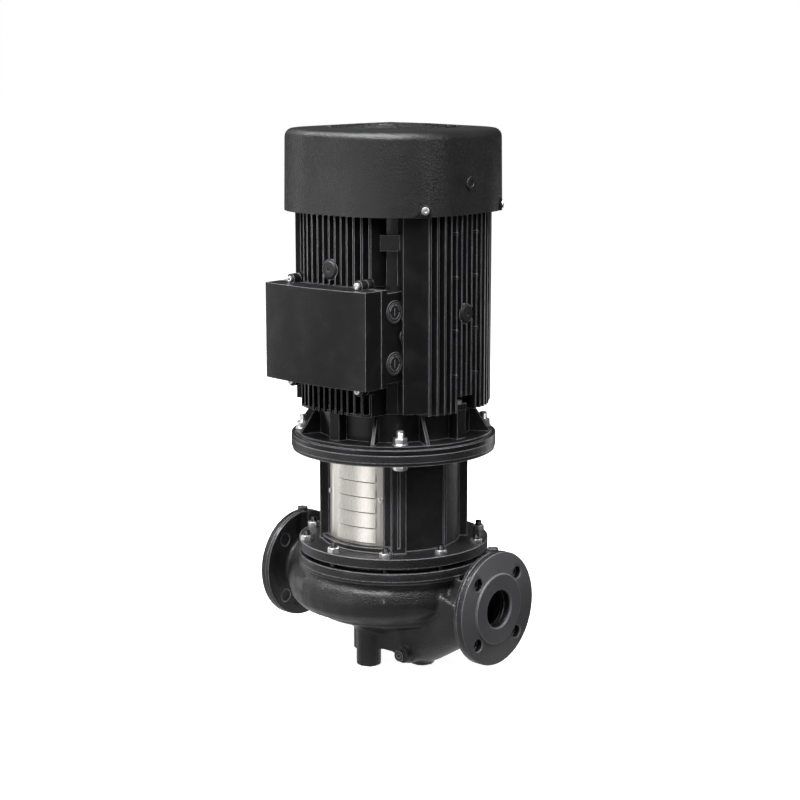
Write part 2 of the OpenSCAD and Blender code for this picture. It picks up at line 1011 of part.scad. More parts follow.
// Web that joins the lower ends of the fins
module fin_web() {
    translate([frame_r - 5, -fin_half * fin_pitch, frame_z])
        cube([fin_tip - fin_crown - frame_r + 4, 2 * fin_half * fin_pitch, 3]);
}

module frame_lug() {
    translate([frame_bore_r + 4, -11, frame_z])
        cube([shield_screw_r + 7 - frame_bore_r - 4, 22, lug_h]);
}

frame_plug_r = 13;
frame_plug_stem = 5;
plug_seat_r = frame_plug_r + 1.5;
plug_seat_y = fin_tip - 2;
front_plug_z = box_z + box_h / 2 + 22;
side_plug_z = frame_z + frame_h / 2;

// Places of the frame plugs, with +Z out of the frame and zero at the seat
module frame_plug_places() {
    translate([0, -plug_seat_y, front_plug_z])
        rotate([90, 0, 0])
            children();
    for (side = [-1, 1])
        translate([side * plug_seat_y, 0, side_plug_z])
            rotate([0, side * 90, 0])
                children();
}

// Pad that carries the terminal box
module box_pad() {
    translate([-box_pad_x, -box_pad_y, box_z - box_h / 2 + box_step + 4])
        cube([2 * box_pad_x, box_pad_y, box_h - 2 * box_step - 8]);
}

module motor_frame() {
    color(cast_black)
        difference() {
            union() {
                up(frame_z)
                    cylinder(r = frame_r, h = frame_h);
                for (a = [0:90:270])
                    rotate(a) {
                        for (k = [-fin_half:fin_half])
                            fin(k, a % 180 == 0 && abs(k) < 2 ? fin_pocket_h : 0);
                        frame_lug();
                    }
                for (a = [90, 270])
                    rotate(a)
                        fin_web();
                column_places()
                    cover_column();
                for (a = [0, 180])
                    rotate(a) {
                        lift_pad();
                        ejector_marks();
                    }
                box_pad();
                // Seats of the frame plugs
                frame_plug_places()
                    up(frame_r - 5 - plug_seat_y)
                        cylinder(r = plug_seat_r, h = plug_seat_y - frame_r + 5);
            }
            // Room for the terminal box between the fins
            difference() {
                translate([-box_w / 2 - 1, -column_reach - 20, box_z - box_h / 2 - 1])
                    cube([box_w + 2, column_reach + 21 - box_side_y, box_h + 2]);
                cylinder(r = frame_r, h = frame_top);
                box_pad();
            }
            lid_tabs(box_joint_y - 13, fin_tip + cut, lid_tab_r + 1);
            // Room for the blanking plugs beside the columns
            cable_entries()
                cylinder(r = gland_r + 3, h = box_wall);
            small_cable_entry()
                cylinder(r = small_gland_r + 3, h = box_wall);
            // Seat of the fan end shield between the columns
            up(frame_top)
                cylinder(r = frame_r + seat_gap, h = column_h + cut);
            // Room round the frame plugs, and their blind holes
            frame_plug_places() {
                cylinder(r = plug_seat_r, h = 10);
                up(-frame_plug_stem - 1)
                    cylinder(r = 5 + thread_gap, h = frame_plug_stem + 2);
            }
            up(frame_z - cut)
                cylinder(r = frame_bore_r, h = frame_h + 2 * cut);
            // Passage for the leads
            up(box_z)
                rod_y(r = 22, h = box_pad_y + cut);
            for (turn = [0, 90])
                shield_screw_places(turn)
                    up(-cut)
                        cylinder(r = 3 + bolt_gap, h = lug_h + 2 * cut);
            // Threads of the fan cover screws
            column_places()
                translate([fin_tip - 8, 0, cover_screw_z])
                    rod_x(r = 2.5 + thread_gap, h = 30);
            for (x = [-1, 1])
                for (z = [-1, 1])
                    translate([x * box_screw_x, -box_pad_y + 12, box_z + z * box_screw_z])
                        rod_y(r = 2.5 + thread_gap, h = 20);
        }
}

// Dished plug with a dimple, screwed into its seat
module frame_plug() {
    up(-frame_plug_stem)
        cylinder(r = 5, h = frame_plug_stem + 0.5);
    difference() {
        rotate_extrude()
            polygon([
                [0, 0],
                [frame_plug_r, 0],
                [frame_plug_r, 1.4],
                [frame_plug_r - 2, 3],
                [0, 3]
            ]);
        up(1.2)
            cylinder(r = 3, h = 4);
    }
}

module frame_plugs() {
    color([0.16, 0.16, 0.17])
        frame_plug_places()
            frame_plug();
}

// Active parts of the motor

slot_count = 24;
slot_half = 3.2;
slot_top_r = 84;
slot_foot_r = 66;

module stator_slots(gap, reach) {
    for (i = [0:slot_count - 1])
        rotate(i * 360 / slot_count)
            polygon([
                [slot_foot_r - reach, gap - slot_half],
                [slot_top_r - gap, gap - slot_half - 2],
                [slot_top_r - gap, slot_half + 2 - gap],
                [slot_foot_r - reach, slot_half - gap]
            ]);
}

module stator_core() {
    color([0.42, 0.43, 0.45])
        up(core_z)
            linear_extrude(core_h)
                difference() {
                    circle(r = frame_bore_r - seat_gap);
                    circle(r = stator_bore_r);
                    stator_slots(0, 0);
                }
}

module stator_windings() {
    color(copper)
        up(core_z) {
            up(-4)
                linear_extrude(core_h + 8)
                    stator_slots(0.2, -0.2);
            for (z = [-26, core_h + 2])
                up(z)
                    ring(slot_top_r + 6, slot_foot_r + 1, 24);
        }
}

module rotor_core() {
    color([0.42, 0.43, 0.45])
        up(core_z)
            ring(rotor_r, shaft_core_r + seat_gap, core_h);
}

module rotor_end_rings() {
    color([0.8, 0.8, 0.82])
        for (side = [0, 1])
            up(core_z + side * core_h)
                mirror([0, 0, 1 - side]) {
                    ring(rotor_r - 2, rotor_r - 18, 10);
                    on_circle(rotor_r - 10, 8)
                        translate([-6, -1.5, 9])
                            cube([12, 3, 12]);
                }
}

// Ball bearings

race_t = 6;

function ball_r(r_in, r_out) = (r_out - r_in - 2 * race_t) / 2 + 2.2;

// Ring of a bearing with a groove for the balls
module race(r_out, r_in, groove_r, ball, w) {
    difference() {
        ring(r_out, r_in, w);
        up(w / 2)
            rotate_extrude()
                translate([groove_r, 0])
                    circle(r = ball + 0.15, $fn = 32);
    }
}

module outer_race(bore, r, w) {
    mid = (bore + r) / 2;
    race(r - seat_gap, r - race_t, mid, ball_r(bore, r), w);
}

module inner_race(bore, r, w) {
    mid = (bore + r) / 2;
    race(bore + race_t, bore + seat_gap, mid, ball_r(bore, r), w);
}

// Balls held in a ring that runs between the races
module ball_cage(bore, r, w, balls) {
    mid = (bore + r) / 2;
    up(w / 2 - 1.5)
        ring(r - race_t - 0.5, bore + race_t + 0.5, 3);
    up(w / 2)
        on_circle(mid, balls)
            sphere(r = ball_r(bore, r), $fn = 32);
}

module drive_bearing_outer() {
    color(bare_steel)
        up(drive_bearing_z)
            outer_race(drive_bore_r, drive_bearing_r, drive_bearing_w);
}

module drive_bearing_inner() {
    color(bare_steel)
        up(drive_bearing_z)
            inner_race(drive_bore_r, drive_bearing_r, drive_bearing_w);
}

module drive_bearing_cage() {
    color(zinc)
        up(drive_bearing_z)
            ball_cage(drive_bore_r, drive_bearing_r, drive_bearing_w, 8);
}

module fan_bearing_outer() {
    color(bare_steel)
        up(fan_bearing_z)
            outer_race(fan_bore_r, fan_bearing_r, fan_bearing_w);
}

module fan_bearing_inner() {
    color(bare_steel)
        up(fan_bearing_z)
            inner_race(fan_bore_r, fan_bearing_r, fan_bearing_w);
}

module fan_bearing_cage() {
    color(zinc)
        up(fan_bearing_z)
            ball_cage(fan_bore_r, fan_bearing_r, fan_bearing_w, 9);
}

// Ring that holds the drive end bearing in its hub
module drive_bearing_cover() {
    color(cast_black)
        up(drive_bearing_z + drive_bearing_w)
            difference() {
                union() {
                    up(2)
                        ring(drive_bearing_r + 8, shaft_shoulder_r + 2, 4);
                    ring(drive_bearing_r - seat_gap, drive_bearing_r - race_t + 1, 3);
                }
                up(-cut)
                    on_circle(drive_bearing_r + 4, 3, 30)
                        cylinder(r = 2, h = 10);
            }
}

// Waved washer that loads the fan end bearing
module preload_washer() {
    color(bare_steel)
        up(fan_bearing_z + fan_bearing_w)
            ring(fan_bearing_r - 0.5, fan_bearing_r - race_t + 0.5, 2);
}

fan_shield_z = frame_top;

module fan_end_shield() {
    color(cast_black)
        difference() {
            union() {
                up(fan_shield_z)
                    cylinder(r = frame_r, h = 6);
                up(fan_shield_z - 6)
                    cylinder(r = frame_bore_r - seat_gap, h = 7);
                up(fan_bearing_z - 3)
                    cylinder(r = fan_bearing_r + 8, h = fan_bearing_w + 10);
            }
            // Hollow under the plate, with the bearing hub left standing
            difference() {
                up(fan_shield_z - 7)
                    cylinder(r = frame_bore_r - 7, h = 7);
                cylinder(r = fan_bearing_r + 8, h = fan_shield_z);
            }
            up(fan_bearing_z - 4)
                cylinder(r = fan_bearing_r, h = fan_bearing_w + 6);
            up(fan_bearing_z)
                cylinder(r = fan_bore_r + run_gap, h = fan_bearing_w + 20);
        }
}

// Fan and its cover

fan_z = fan_bearing_z + fan_bearing_w + 20;

module cooling_fan() {
    color([0.1, 0.1, 0.11])
        up(fan_z)
            difference() {
                union() {
                    cylinder(r = fan_bore_r + 10, h = 30);
                    cylinder(r = fan_r - 12, h = 3.5);
                    on_circle(0, fan_blades)
                        translate([fan_bore_r + 6, -1.75, 0])
                            cube([fan_r - fan_bore_r - 6, 3.5, 38]);
                }
                up(-cut)
                    cylinder(r = fan_bore_r - 2 + seat_gap, h = 60);
            }
}

module fan_clip() {
    color(bare_steel)
        up(fan_z + 30 + seat_gap)
            difference() {
                ring(fan_bore_r + 3, fan_bore_r - 3 + seat_gap, 1.6);
                translate([0, -3, -cut])
                    cube([fan_bore_r + 10, 6, 5]);
            }
}

cover_screw_z = cover_z + 9;
cover_ear_r = 8;
cover_ear_t = 1.2;
cover_draft = 1.5;
roll_steps = 5;

// Distance from the axis to the outside of the fan cover at an angle from the X axis
function cover_reach(a) =
    let (arm = cover_half - cover_corner_r)
    let (along = arm * (cos(a) + sin(a)))
    along + sqrt(pow(along, 2) - 2 * pow(arm, 2) + pow(cover_corner_r, 2));

column_reach = cover_reach(column_angle) - cover_wall - 2;
cap_x = cover_half - cover_draft * cover_cap_rise / (cover_h - 6 - cover_roll);

// Corner of the fan cover, thinner by the wall, that the plan is stretched over
module cover_corner(wall) {
    r = cover_corner_r - wall;
    roll = cover_roll - wall;
    top = cover_h - wall;
    rotate_extrude($fn = 48)
        polygon(concat(
            [[0, 0], [r, 0]],
            [
                for (i = [0:roll_steps])
                    let (a = 90 * i / roll_steps)
                    [r - cover_draft - roll + roll * cos(a), top - 6 - roll + roll * sin(a)]
            ],
            [[0, top]]
        ));
}

module cover_body(wall) {
    arm = cover_half - cover_corner_r;
    hull()
        for (x = [-arm, arm])
            for (y = [-arm, arm])
                translate([x, y, 0])
                    cover_corner(wall);
}

module grille_slots() {
    for (i = [0:grille_rings - 1])
        difference() {
            ring(32 + i * 13, 25 + i * 13, 60);
            for (k = [0:grille_spokes - 1])
                rotate(k * 360 / grille_spokes)
                    translate([0, -2.5, -cut])
                        cube([200, 5, 70]);
        }
}

// Ear round a screw of the fan cover, down to its lower edge
module cover_ear() {
    translate([cover_reach(column_angle) - 8, 0, 0]) {
        up(cover_screw_z - cover_z)
            rod_x(r = cover_ear_r, h = 8 + cover_ear_t);
        translate([0, -cover_ear_r, 0])
            cube([8 + cover_ear_t, 2 * cover_ear_r, cover_screw_z - cover_z]);
    }
}

module fan_cover() {
    color([0.13, 0.13, 0.135])
        up(cover_z)
            difference() {
                union() {
                    cover_body(0);
                    column_places()
                        cover_ear();
                }
                up(-0.01)
                    cover_body(cover_wall);
                up(cover_h - 30)
                    grille_slots();
                column_places()
                    translate([fin_tip - 8, 0, cover_screw_z - cover_z])
                        rod_x(r = 2.5 + bolt_gap, h = 40);
                translate([cap_x - 20, 0, cover_cap_rise])
                    rod_x(r = 6 + thread_gap, h = 40);
            }
}

module fan_cover_screws() {
    color(zinc)
        column_places()
            translate([cover_reach(column_angle) + cover_ear_t, 0, cover_screw_z])
                rotate([0, 90, 0]) {
                    up(-21)
                        cylinder(r = 2.5, h = 21.5);
                    cylinder(r = 5.5, h = 2.5);
                }
}

// Cap that closes the greasing hole in the side of the fan cover
module fan_cover_cap() {
    color([0.09, 0.09, 0.095])
        translate([cap_x, 0, cover_z + cover_cap_rise])
            rotate([0, 90, 0])
                difference() {
                    union() {
                        up(-5)
                            cylinder(r = 6, h = 6);
                        up(0.2)
                            cylinder(r = 9.5, h = 2.5);
                    }
                    up(1.5)
                        cylinder(r = 5, h = 5);
                }
}

// Terminal box

box_pad_y = frame_r + 6;
box_pad_x = box_w / 2 - 32;
box_side_y = sqrt(pow(frame_r, 2) - pow(box_w / 2, 2)) - 0.8;
box_step = 5;
box_screw_x = box_pad_x - 10;
box_screw_z = 48;
lid_screw_x = 64;
lid_tab_r = 7.5;
lid_tab_rise = 5;
gland_y = frame_r - 7;
gland_r = 15;
gland_rise = 36;
small_gland_y = frame_r - 27;
small_gland_r = 7;

// Block of the width of the terminal box, from one distance in front of the axis to another
module box_block(from_y, to_y, inset, step = 0) {
    w = box_w - 2 * inset;
    h = box_h - 2 * inset - 2 * step;
    translate([-w / 2, -to_y, box_z - h / 2])
        cube([w, to_y - from_y, h]);
}

module lid_tabs(from_y, to_y, r) {
    for (x = [-1, 1])
        for (z = [-1, 1])
            translate([x * lid_screw_x, -from_y, box_z + z * (box_h / 2 + lid_tab_rise)])
                rod_y(r = r, h = to_y - from_y, $fn = 48);
}

// Places of the cable entries, with +Z out of the box and zero at its side
module cable_entries() {
    for (side = [-1, 1])
        for (z = [-gland_rise, gland_rise])
            translate([side * box_w / 2, -gland_y, box_z + z])
                rotate([0, side * 90, 0])
                    children();
}

module small_cable_entry() {
    translate([box_w / 2, -small_gland_y, box_z])
        rotate([0, 90, 0])
            children();
}

module terminal_box() {
    color(cast_black)
        difference() {
            union() {
                // Rim for the lid, and the lower body behind it
                box_block(box_joint_y - 12, box_joint_y, 0);
                box_block(box_side_y, box_joint_y, 0, box_step);
                lid_tabs(box_joint_y - 12, box_joint_y, lid_tab_r);
            }
            // Inside, open to the lid, with a floor on the pad of the frame
            difference() {
                box_block(0, box_joint_y + cut, box_wall, box_step);
                translate([-box_pad_x - 3, -box_pad_y - 4, frame_z])
                    cube([2 * box_pad_x + 6, 4, frame_h]);
            }
            cylinder(r = frame_r + run_gap, h = frame_top);
            // Hole for the leads
            up(box_z)
                rod_y(r = 22, h = box_joint_y);
            lid_tabs(box_joint_y - 10, box_joint_y + cut, 2.5 + thread_gap);
            // Cable entries
            cable_entries()
                up(-box_wall - cut)
                    cylinder(r = gland_r, h = box_wall + 2 * cut);
            small_cable_entry()
                up(-box_wall - cut)
                    cylinder(r = small_gland_r, h = box_wall + 2 * cut);
            for (x = [-1, 1])
                for (z = [-1, 1])
                    translate([x * box_screw_x, 0, box_z + z * box_screw_z])
                        rod_y(r = 2.5 + bolt_gap, h = box_joint_y);
        }
}

module lid_gasket() {
    color([0.03, 0.03, 0.03])
        difference() {
            box_block(box_joint_y, box_joint_y + 1.5, 0.5);
            box_block(box_joint_y - cut, box_joint_y + 3, box_wall);
        }
}

lid_y = box_joint_y + 1.5;
lid_front_y = box_joint_y + lid_depth;

// Outline of the lid seen from above, with its bowed front
module lid_plan(inset) {
    half = box_w / 2 - inset;
    bow_r = (pow(box_w / 2, 2) + pow(lid_bow, 2)) / (2 * lid_bow);
    intersection() {
        translate([-half, -lid_front_y - lid_bow - cut])
            square([2 * half, lid_front_y + lid_bow + cut - lid_y + (inset > 0 ? cut : 0)]);
        translate([0, bow_r - lid_front_y - lid_bow])
            circle(r = bow_r - inset, $fn = 180);
    }
}

module terminal_lid() {
    color([0.07, 0.07, 0.075])
        difference() {
            union() {
                up(box_z - box_h / 2)
                    linear_extrude(box_h)
                        lid_plan(0);
                lid_tabs(lid_y, lid_y + 12, lid_tab_r);
            }
            up(box_z - box_h / 2 + box_wall)
                linear_extrude(box_h - 2 * box_wall)
                    lid_plan(box_wall);
            lid_tabs(lid_y - cut, lid_y + 14, 2.5 + bolt_gap);
        }
}

module lid_screws() {
    color(zinc) {
        lid_tabs(box_joint_y - 9, lid_y + 12.5, 2.5);
        lid_tabs(lid_y + 12, lid_y + 16, 4.6);
    }
}

block_y = box_pad_y + 4;
block_z = box_z - box_h / 2 + box_step + box_wall + 1;
block_w = 70;
block_h = 34;

module terminal_block() {
    color([0.5, 0.32, 0.2])
        difference() {
            translate([-block_w / 2, -block_y - 12, block_z])
                cube([block_w, 12, block_h]);
            terminal_posts(2.5 + thread_gap, 30);
        }
}

module terminal_posts(r, h) {
    for (x = [-22, 0, 22])
        for (z = [-8, 8])
            translate([x, -block_y, block_z + block_h / 2 + z])
                rod_y(r = r, h = h, $fn = 32);
}

module terminal_studs() {
    color([0.83, 0.68, 0.3]) {
        terminal_posts(2.5, 22);
        translate([0, -12, 0])
            terminal_posts(4.6, 3);
    }
}

module earth_screw() {
    color([0.83, 0.68, 0.3])
        translate([block_w / 2 + 12, -block_y, block_z + 8])
            rotate([90, 0, 0]) {
                cylinder(r = 5, h = 3);
                hexagon(7, 7);
            }
}

// Plug that closes a cable entry, with a spigot through the wall and a ring pressed in its face
module blanking_plug(r) {
    up(-box_wall)
        cylinder(r = r - seat_gap, h = box_wall);
    difference() {
        cylinder(r = r + 1.5, h = 1.6);
        up(0.8)
            ring(r - 1, r - 2, 2);
    }
}

module gland_plugs() {
    color([0.08, 0.08, 0.085])
        cable_entries()
            blanking_plug(gland_r);
}

module small_gland_plug() {
    color([0.08, 0.08, 0.085])
        small_cable_entry()
            blanking_plug(small_gland_r);
}

// Turning parts

shaft_core_r = 22;

module motor_shaft() {
    color(bare_steel)
        difference() {
            rotate_extrude()
                polygon([
                    [0, shaft_end_z],
                    [motor_shaft_r - 1, shaft_end_z],
                    [motor_shaft_r, shaft_end_z + 1],
                    [motor_shaft_r, motor_z - 2],
                    [drive_bore_r, motor_z - 2],
                    [drive_bore_r, drive_bearing_z + drive_bearing_w],
                    [shaft_shoulder_r, drive_bearing_z + drive_bearing_w],
                    [shaft_shoulder_r, core_z - 12],
                    [shaft_core_r, core_z - 12],
                    [shaft_core_r, core_z + core_h + 12],
                    [shaft_core_r - 1, core_z + core_h + 12],
                    [shaft_core_r - 1, fan_bearing_z],
                    [fan_bore_r, fan_bearing_z],
                    [fan_bore_r, fan_z - 2],
                    [fan_bore_r - 2, fan_z - 2],
                    [fan_bore_r - 2, fan_z + 40],
                    [0, fan_z + 40]
                ]);
            // Groove of the fan clip
            up(fan_z + 30)
                ring(fan_bore_r, fan_bore_r - 3.2, 1.8 + seat_gap);
        }
}

module pump_shaft() {
    color(steel)
        difference() {
            rotate_extrude()
                polygon([
                    [0, impeller_z - 16],
                    [7, impeller_z - 16],
                    [7, impeller_z - 2],
                    [11, impeller_z - 2],
                    [11, spigot_z - 2],
                    [pump_shaft_r, spigot_z - 2],
                    [pump_shaft_r, shaft_end_z - 4],
                    [0, shaft_end_z - 4]
                ]);
            translate([-50, 0, pin_z])
                rod_x(r = 3 + thread_gap, h = 100);
        }
}

pin_z = shaft_end_z - 22;

// Half of the clamped coupling, on the side that faces along -Y
module coupling_half() {
    difference() {
        up(coupling_z)
            rotate_extrude()
                polygon([
                    [pump_shaft_r + seat_gap, 0],
                    [coupling_r - 2, 0],
                    [coupling_r, 2],
                    [coupling_r, coupling_h - 2],
                    [coupling_r - 2, coupling_h],
                    [motor_shaft_r + seat_gap, coupling_h],
                    [motor_shaft_r + seat_gap, shaft_end_z - coupling_z - 1],
                    [pump_shaft_r + seat_gap, shaft_end_z - coupling_z - 1]
                ]);
        translate([-60, -0.5, coupling_z - cut])
            cube([120, 60, coupling_h + 2 * cut]);
        // Screw holes, spot-faced for the heads
        coupling_screw_places() {
            up(-40)
                cylinder(r = 4 + bolt_gap, h = 80);
            up(16)
                cylinder(r = 7, h = 40);
            up(-56)
                cylinder(r = 7, h = 40);
        }
        translate([-50, 0, pin_z])
            rod_x(r = 3 + bolt_gap, h = 100);
    }
}

coupling_screw_x = (coupling_r + motor_shaft_r) / 2 + 0.5;

module coupling_screw_places() {
    for (x = [-1, 1])
        for (z = [20, coupling_h - 20])
            translate([x * coupling_screw_x, 0, coupling_z + z])
                rotate([90, 0, 0])
                    children();
}

module coupling_front() {
    color(cast_black)
        coupling_half();
}

module coupling_rear() {
    color(cast_black)
        rotate(180)
            coupling_half();
}

module coupling_screws() {
    color(bare_steel)
        coupling_screw_places() {
            up(-22)
                cylinder(r = 4, h = 38.5);
            difference() {
                up(16)
                    cylinder(r = 6.5, h = 7);
                up(19)
                    hexagon(6, 6);
            }
            up(-22)
                hexagon(12, 6);
        }
}

module coupling_pin() {
    color(bare_steel)
        translate([-(coupling_r - 4), 0, pin_z])
            rod_x(r = 3, h = 2 * (coupling_r - 4));
}

shroud_t = 3;

// One backward-curved vane between the shrouds
module vane() {
    arc_r = impeller_r * 0.72;
    mid_x = impeller_r * 0.52;
    mid_y = -impeller_r * 0.36;
    up(impeller_z - 6)
        linear_extrude(impeller_w + 7)
            intersection() {
                difference() {
                    translate([mid_x, mid_y])
                        circle(r = arc_r);
                    translate([mid_x, mid_y])
                        circle(r = arc_r - 3.2);
                }
                difference() {
                    circle(r = impeller_r - 0.5);
                    circle(r = eye_r - 2);
                }
                translate([-impeller_r, mid_y])
                    square([impeller_r + mid_x, 2 * impeller_r]);
            }
}

module impeller() {
    front_z = impeller_z - shroud_t;
    color([0.55, 0.42, 0.25])
        difference() {
            union() {
                // Back shroud and hub
                up(impeller_z + impeller_w - shroud_t)
                    cylinder(r = impeller_r, h = shroud_t);
                up(impeller_z - 4)
                    cylinder(r = hub_r, h = spigot_z + 4 - impeller_z + 4 - 6);
                // Front shroud that dips to the eye
                rotate_extrude()
                    polygon([
                        [eye_r, impeller_z - 18],
                        [eye_r + eye_wall, impeller_z - 18],
                        [eye_r + eye_wall, impeller_z - 9],
                        [eye_r + 14, front_z - 2],
                        [impeller_r, front_z],
                        [impeller_r, impeller_z],
                        [eye_r + 14, impeller_z],
                        [eye_r, impeller_z - 6]
                    ]);
                intersection() {
                    for (i = [0:vane_count - 1])
                        rotate(i * 360 / vane_count)
                            vane();
                    rotate_extrude()
                        polygon([
                            [0, impeller_z + impeller_w],
                            [impeller_r, impeller_z + impeller_w],
                            [impeller_r, impeller_z - 1],
                            [eye_r + 14, impeller_z - 1],
                            [eye_r, impeller_z - 7],
                            [0, impeller_z - 7]
                        ]);
                }
            }
            up(impeller_z - 30)
                cylinder(r = 11 + seat_gap, h = 60);
        }
}

module impeller_nut() {
    color(steel)
        up(impeller_z - 14)
            difference() {
                union() {
                    hexagon(24, 8);
                    up(8)
                        cylinder(r = 14, h = 2);
                }
                up(-cut)
                    cylinder(r = 7 + thread_gap, h = 20);
            }
}

// Turning half of the shaft seal and the spring behind it
module seal_ring() {
    color([0.2, 0.2, 0.21])
        up(spigot_z + 1)
            ring(hub_r + 6, pump_shaft_r + seat_gap, 4 - 0.1);
}

module seal_spring() {
    color(steel)
        up(spigot_z - 2)
            ring(hub_r, pump_shaft_r + seat_gap, 3);
}

pump_housing();
wear_ring();
casing_seal();
casing_cover();
seal_seat();
drain_plug();
gauge_plugs();
vent_screw();
motor_stool();
casing_studs();
casing_nuts();
front_guard();
rear_guard();
guard_screws();
motor_bolts();
motor_nuts();
drive_end_shield();
shield_screws();
motor_frame();
frame_plugs();
stator_core();
stator_windings();
drive_bearing_outer();
fan_bearing_outer();
drive_bearing_cage();
fan_bearing_cage();
drive_bearing_inner();
fan_bearing_inner();
drive_bearing_cover();
preload_washer();
fan_end_shield();
fan_cover();
fan_cover_screws();
fan_cover_cap();
terminal_box();
lid_gasket();
terminal_lid();
lid_screws();
terminal_block();
terminal_studs();
gland_plugs();
small_gland_plug();
earth_screw();
motor_shaft();
rotor_core();
rotor_end_rings();
cooling_fan();
fan_clip();
coupling_front();
coupling_rear();
coupling_screws();
coupling_pin();
pump_shaft();
impeller();
impeller_nut();
seal_ring();
seal_spring();
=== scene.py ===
"""Looks of a vertical in-line circulation pump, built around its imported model.

Lengths are in metres. The shaft axis is Z, +X points to the suction port and -Y to the terminal box.
"""

import json
import math
from itertools import product

import bpy
from bpy.props import FloatProperty, FloatVectorProperty, IntProperty, PointerProperty
from mathutils import Matrix, Vector

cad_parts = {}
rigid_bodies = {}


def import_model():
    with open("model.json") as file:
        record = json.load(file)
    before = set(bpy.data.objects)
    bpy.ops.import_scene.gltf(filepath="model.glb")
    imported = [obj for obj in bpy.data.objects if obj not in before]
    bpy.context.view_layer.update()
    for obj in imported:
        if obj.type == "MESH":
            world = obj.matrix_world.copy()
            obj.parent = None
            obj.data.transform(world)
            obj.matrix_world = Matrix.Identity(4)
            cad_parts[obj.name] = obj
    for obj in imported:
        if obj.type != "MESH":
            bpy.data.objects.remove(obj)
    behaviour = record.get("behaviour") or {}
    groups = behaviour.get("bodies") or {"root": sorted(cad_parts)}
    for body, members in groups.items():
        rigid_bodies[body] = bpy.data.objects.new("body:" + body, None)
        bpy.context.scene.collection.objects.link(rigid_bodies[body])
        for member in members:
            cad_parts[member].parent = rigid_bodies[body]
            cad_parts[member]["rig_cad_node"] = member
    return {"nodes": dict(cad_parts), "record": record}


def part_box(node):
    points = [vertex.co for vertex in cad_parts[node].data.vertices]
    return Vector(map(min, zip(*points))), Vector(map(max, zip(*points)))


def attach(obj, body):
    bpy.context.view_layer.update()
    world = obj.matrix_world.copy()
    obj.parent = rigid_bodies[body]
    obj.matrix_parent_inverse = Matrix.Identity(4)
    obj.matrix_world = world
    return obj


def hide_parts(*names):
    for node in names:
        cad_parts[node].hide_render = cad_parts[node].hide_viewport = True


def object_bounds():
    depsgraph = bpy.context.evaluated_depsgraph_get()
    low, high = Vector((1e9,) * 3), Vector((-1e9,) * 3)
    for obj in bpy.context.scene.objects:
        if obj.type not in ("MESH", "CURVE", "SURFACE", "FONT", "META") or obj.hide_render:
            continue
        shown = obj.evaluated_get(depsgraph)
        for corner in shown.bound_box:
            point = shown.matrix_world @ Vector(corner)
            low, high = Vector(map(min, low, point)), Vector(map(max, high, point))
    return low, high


bl_info = {
    "name": "Circulation Pump",
    "version": (1, 0, 0),
    "blender": (4, 5, 0),
    "location": "3D View > Sidebar > Pump",
    "description": "Builds the finish of a vertical in-line circulation pump around its packed model",
    "category": "Object",
}

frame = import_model()
bpy.ops.object.select_all(action="DESELECT")
CAD_BOX = [list(corner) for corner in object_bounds()]

MM = 0.001
MOUNTS = {mount["name"]: mount for mount in frame["record"]["mounts"]}
SLOT_OF = {part["node"]: part["material_slot"] for part in frame["record"]["subparts"]}
BODY_OF = {
    node: body for body, nodes in frame["record"]["behaviour"]["bodies"].items() for node in nodes
}

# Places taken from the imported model
PORT_X = CAD_BOX[1][0]
PORT_Z = MOUNTS["suction_port"]["pos_m"][2]
PORT_R = MOUNTS["suction_port"]["dims"]["r_mm"] * MM
JOINT_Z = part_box("motor_stool")[0][2] - 7 * MM

# Forms of the pump housing
FLANGE_R = 82.5 * MM
FLANGE_T = 18 * MM
FLANGE_HOLE_CIRCLE = 62.5 * MM
FACE_R = 51 * MM
FACE_H = 3 * MM
JOINT_R = 140 * MM
JOINT_BORE_R = 112.5 * MM
STUDS = 10
STUD_CIRCLE = 131 * MM
STUD_TURNS = [math.radians(180 / STUDS + k * 360 / STUDS) for k in range(STUDS)]
FOOT_CIRCLE = 56 * MM
FOOT_TURNS = [math.pi / 2 * k for k in range(4)]
FOOT_TAP_R = 5.1 * MM
GAUGE_X = PORT_X - 13 * MM
GAUGE_Z = PORT_Z + FLANGE_R + 0.5 * MM
DRAIN = (64 * MM, -58 * MM, 26 * MM)
TAP_R = 6.55 * MM

# Radius and length of the rods that fill the small holes while the casting is remeshed
PORT_ROD = (10.5 * MM, FLANGE_T - 3 * MM)
STUD_ROD = (6.5 * MM, 16.5 * MM)
FOOT_ROD = (6.5 * MM, 22.5 * MM)
TAP_ROD = (7.8 * MM, 14.5 * MM)

# Motor, its blanking plugs and the guards
MOTOR_PCD = 265 * MM
FRAME_R = 141.5 * MM
PLUG_RIM = 1.5 * MM
PLUG_T = 1.6 * MM
LOUVRES = 5
LOUVRE_PITCH = 22.4 * MM

# Camera of the photograph, and the column of its pixels that the shaft axis stands on
PICTURE_PX = 800
AXIS_PX = 393.4
CAMERA_PLACE = Vector((1.749, -2.012, 0.890))
CAMERA_DOWN = math.radians(10.645)


# Sizes and colours that a user may change


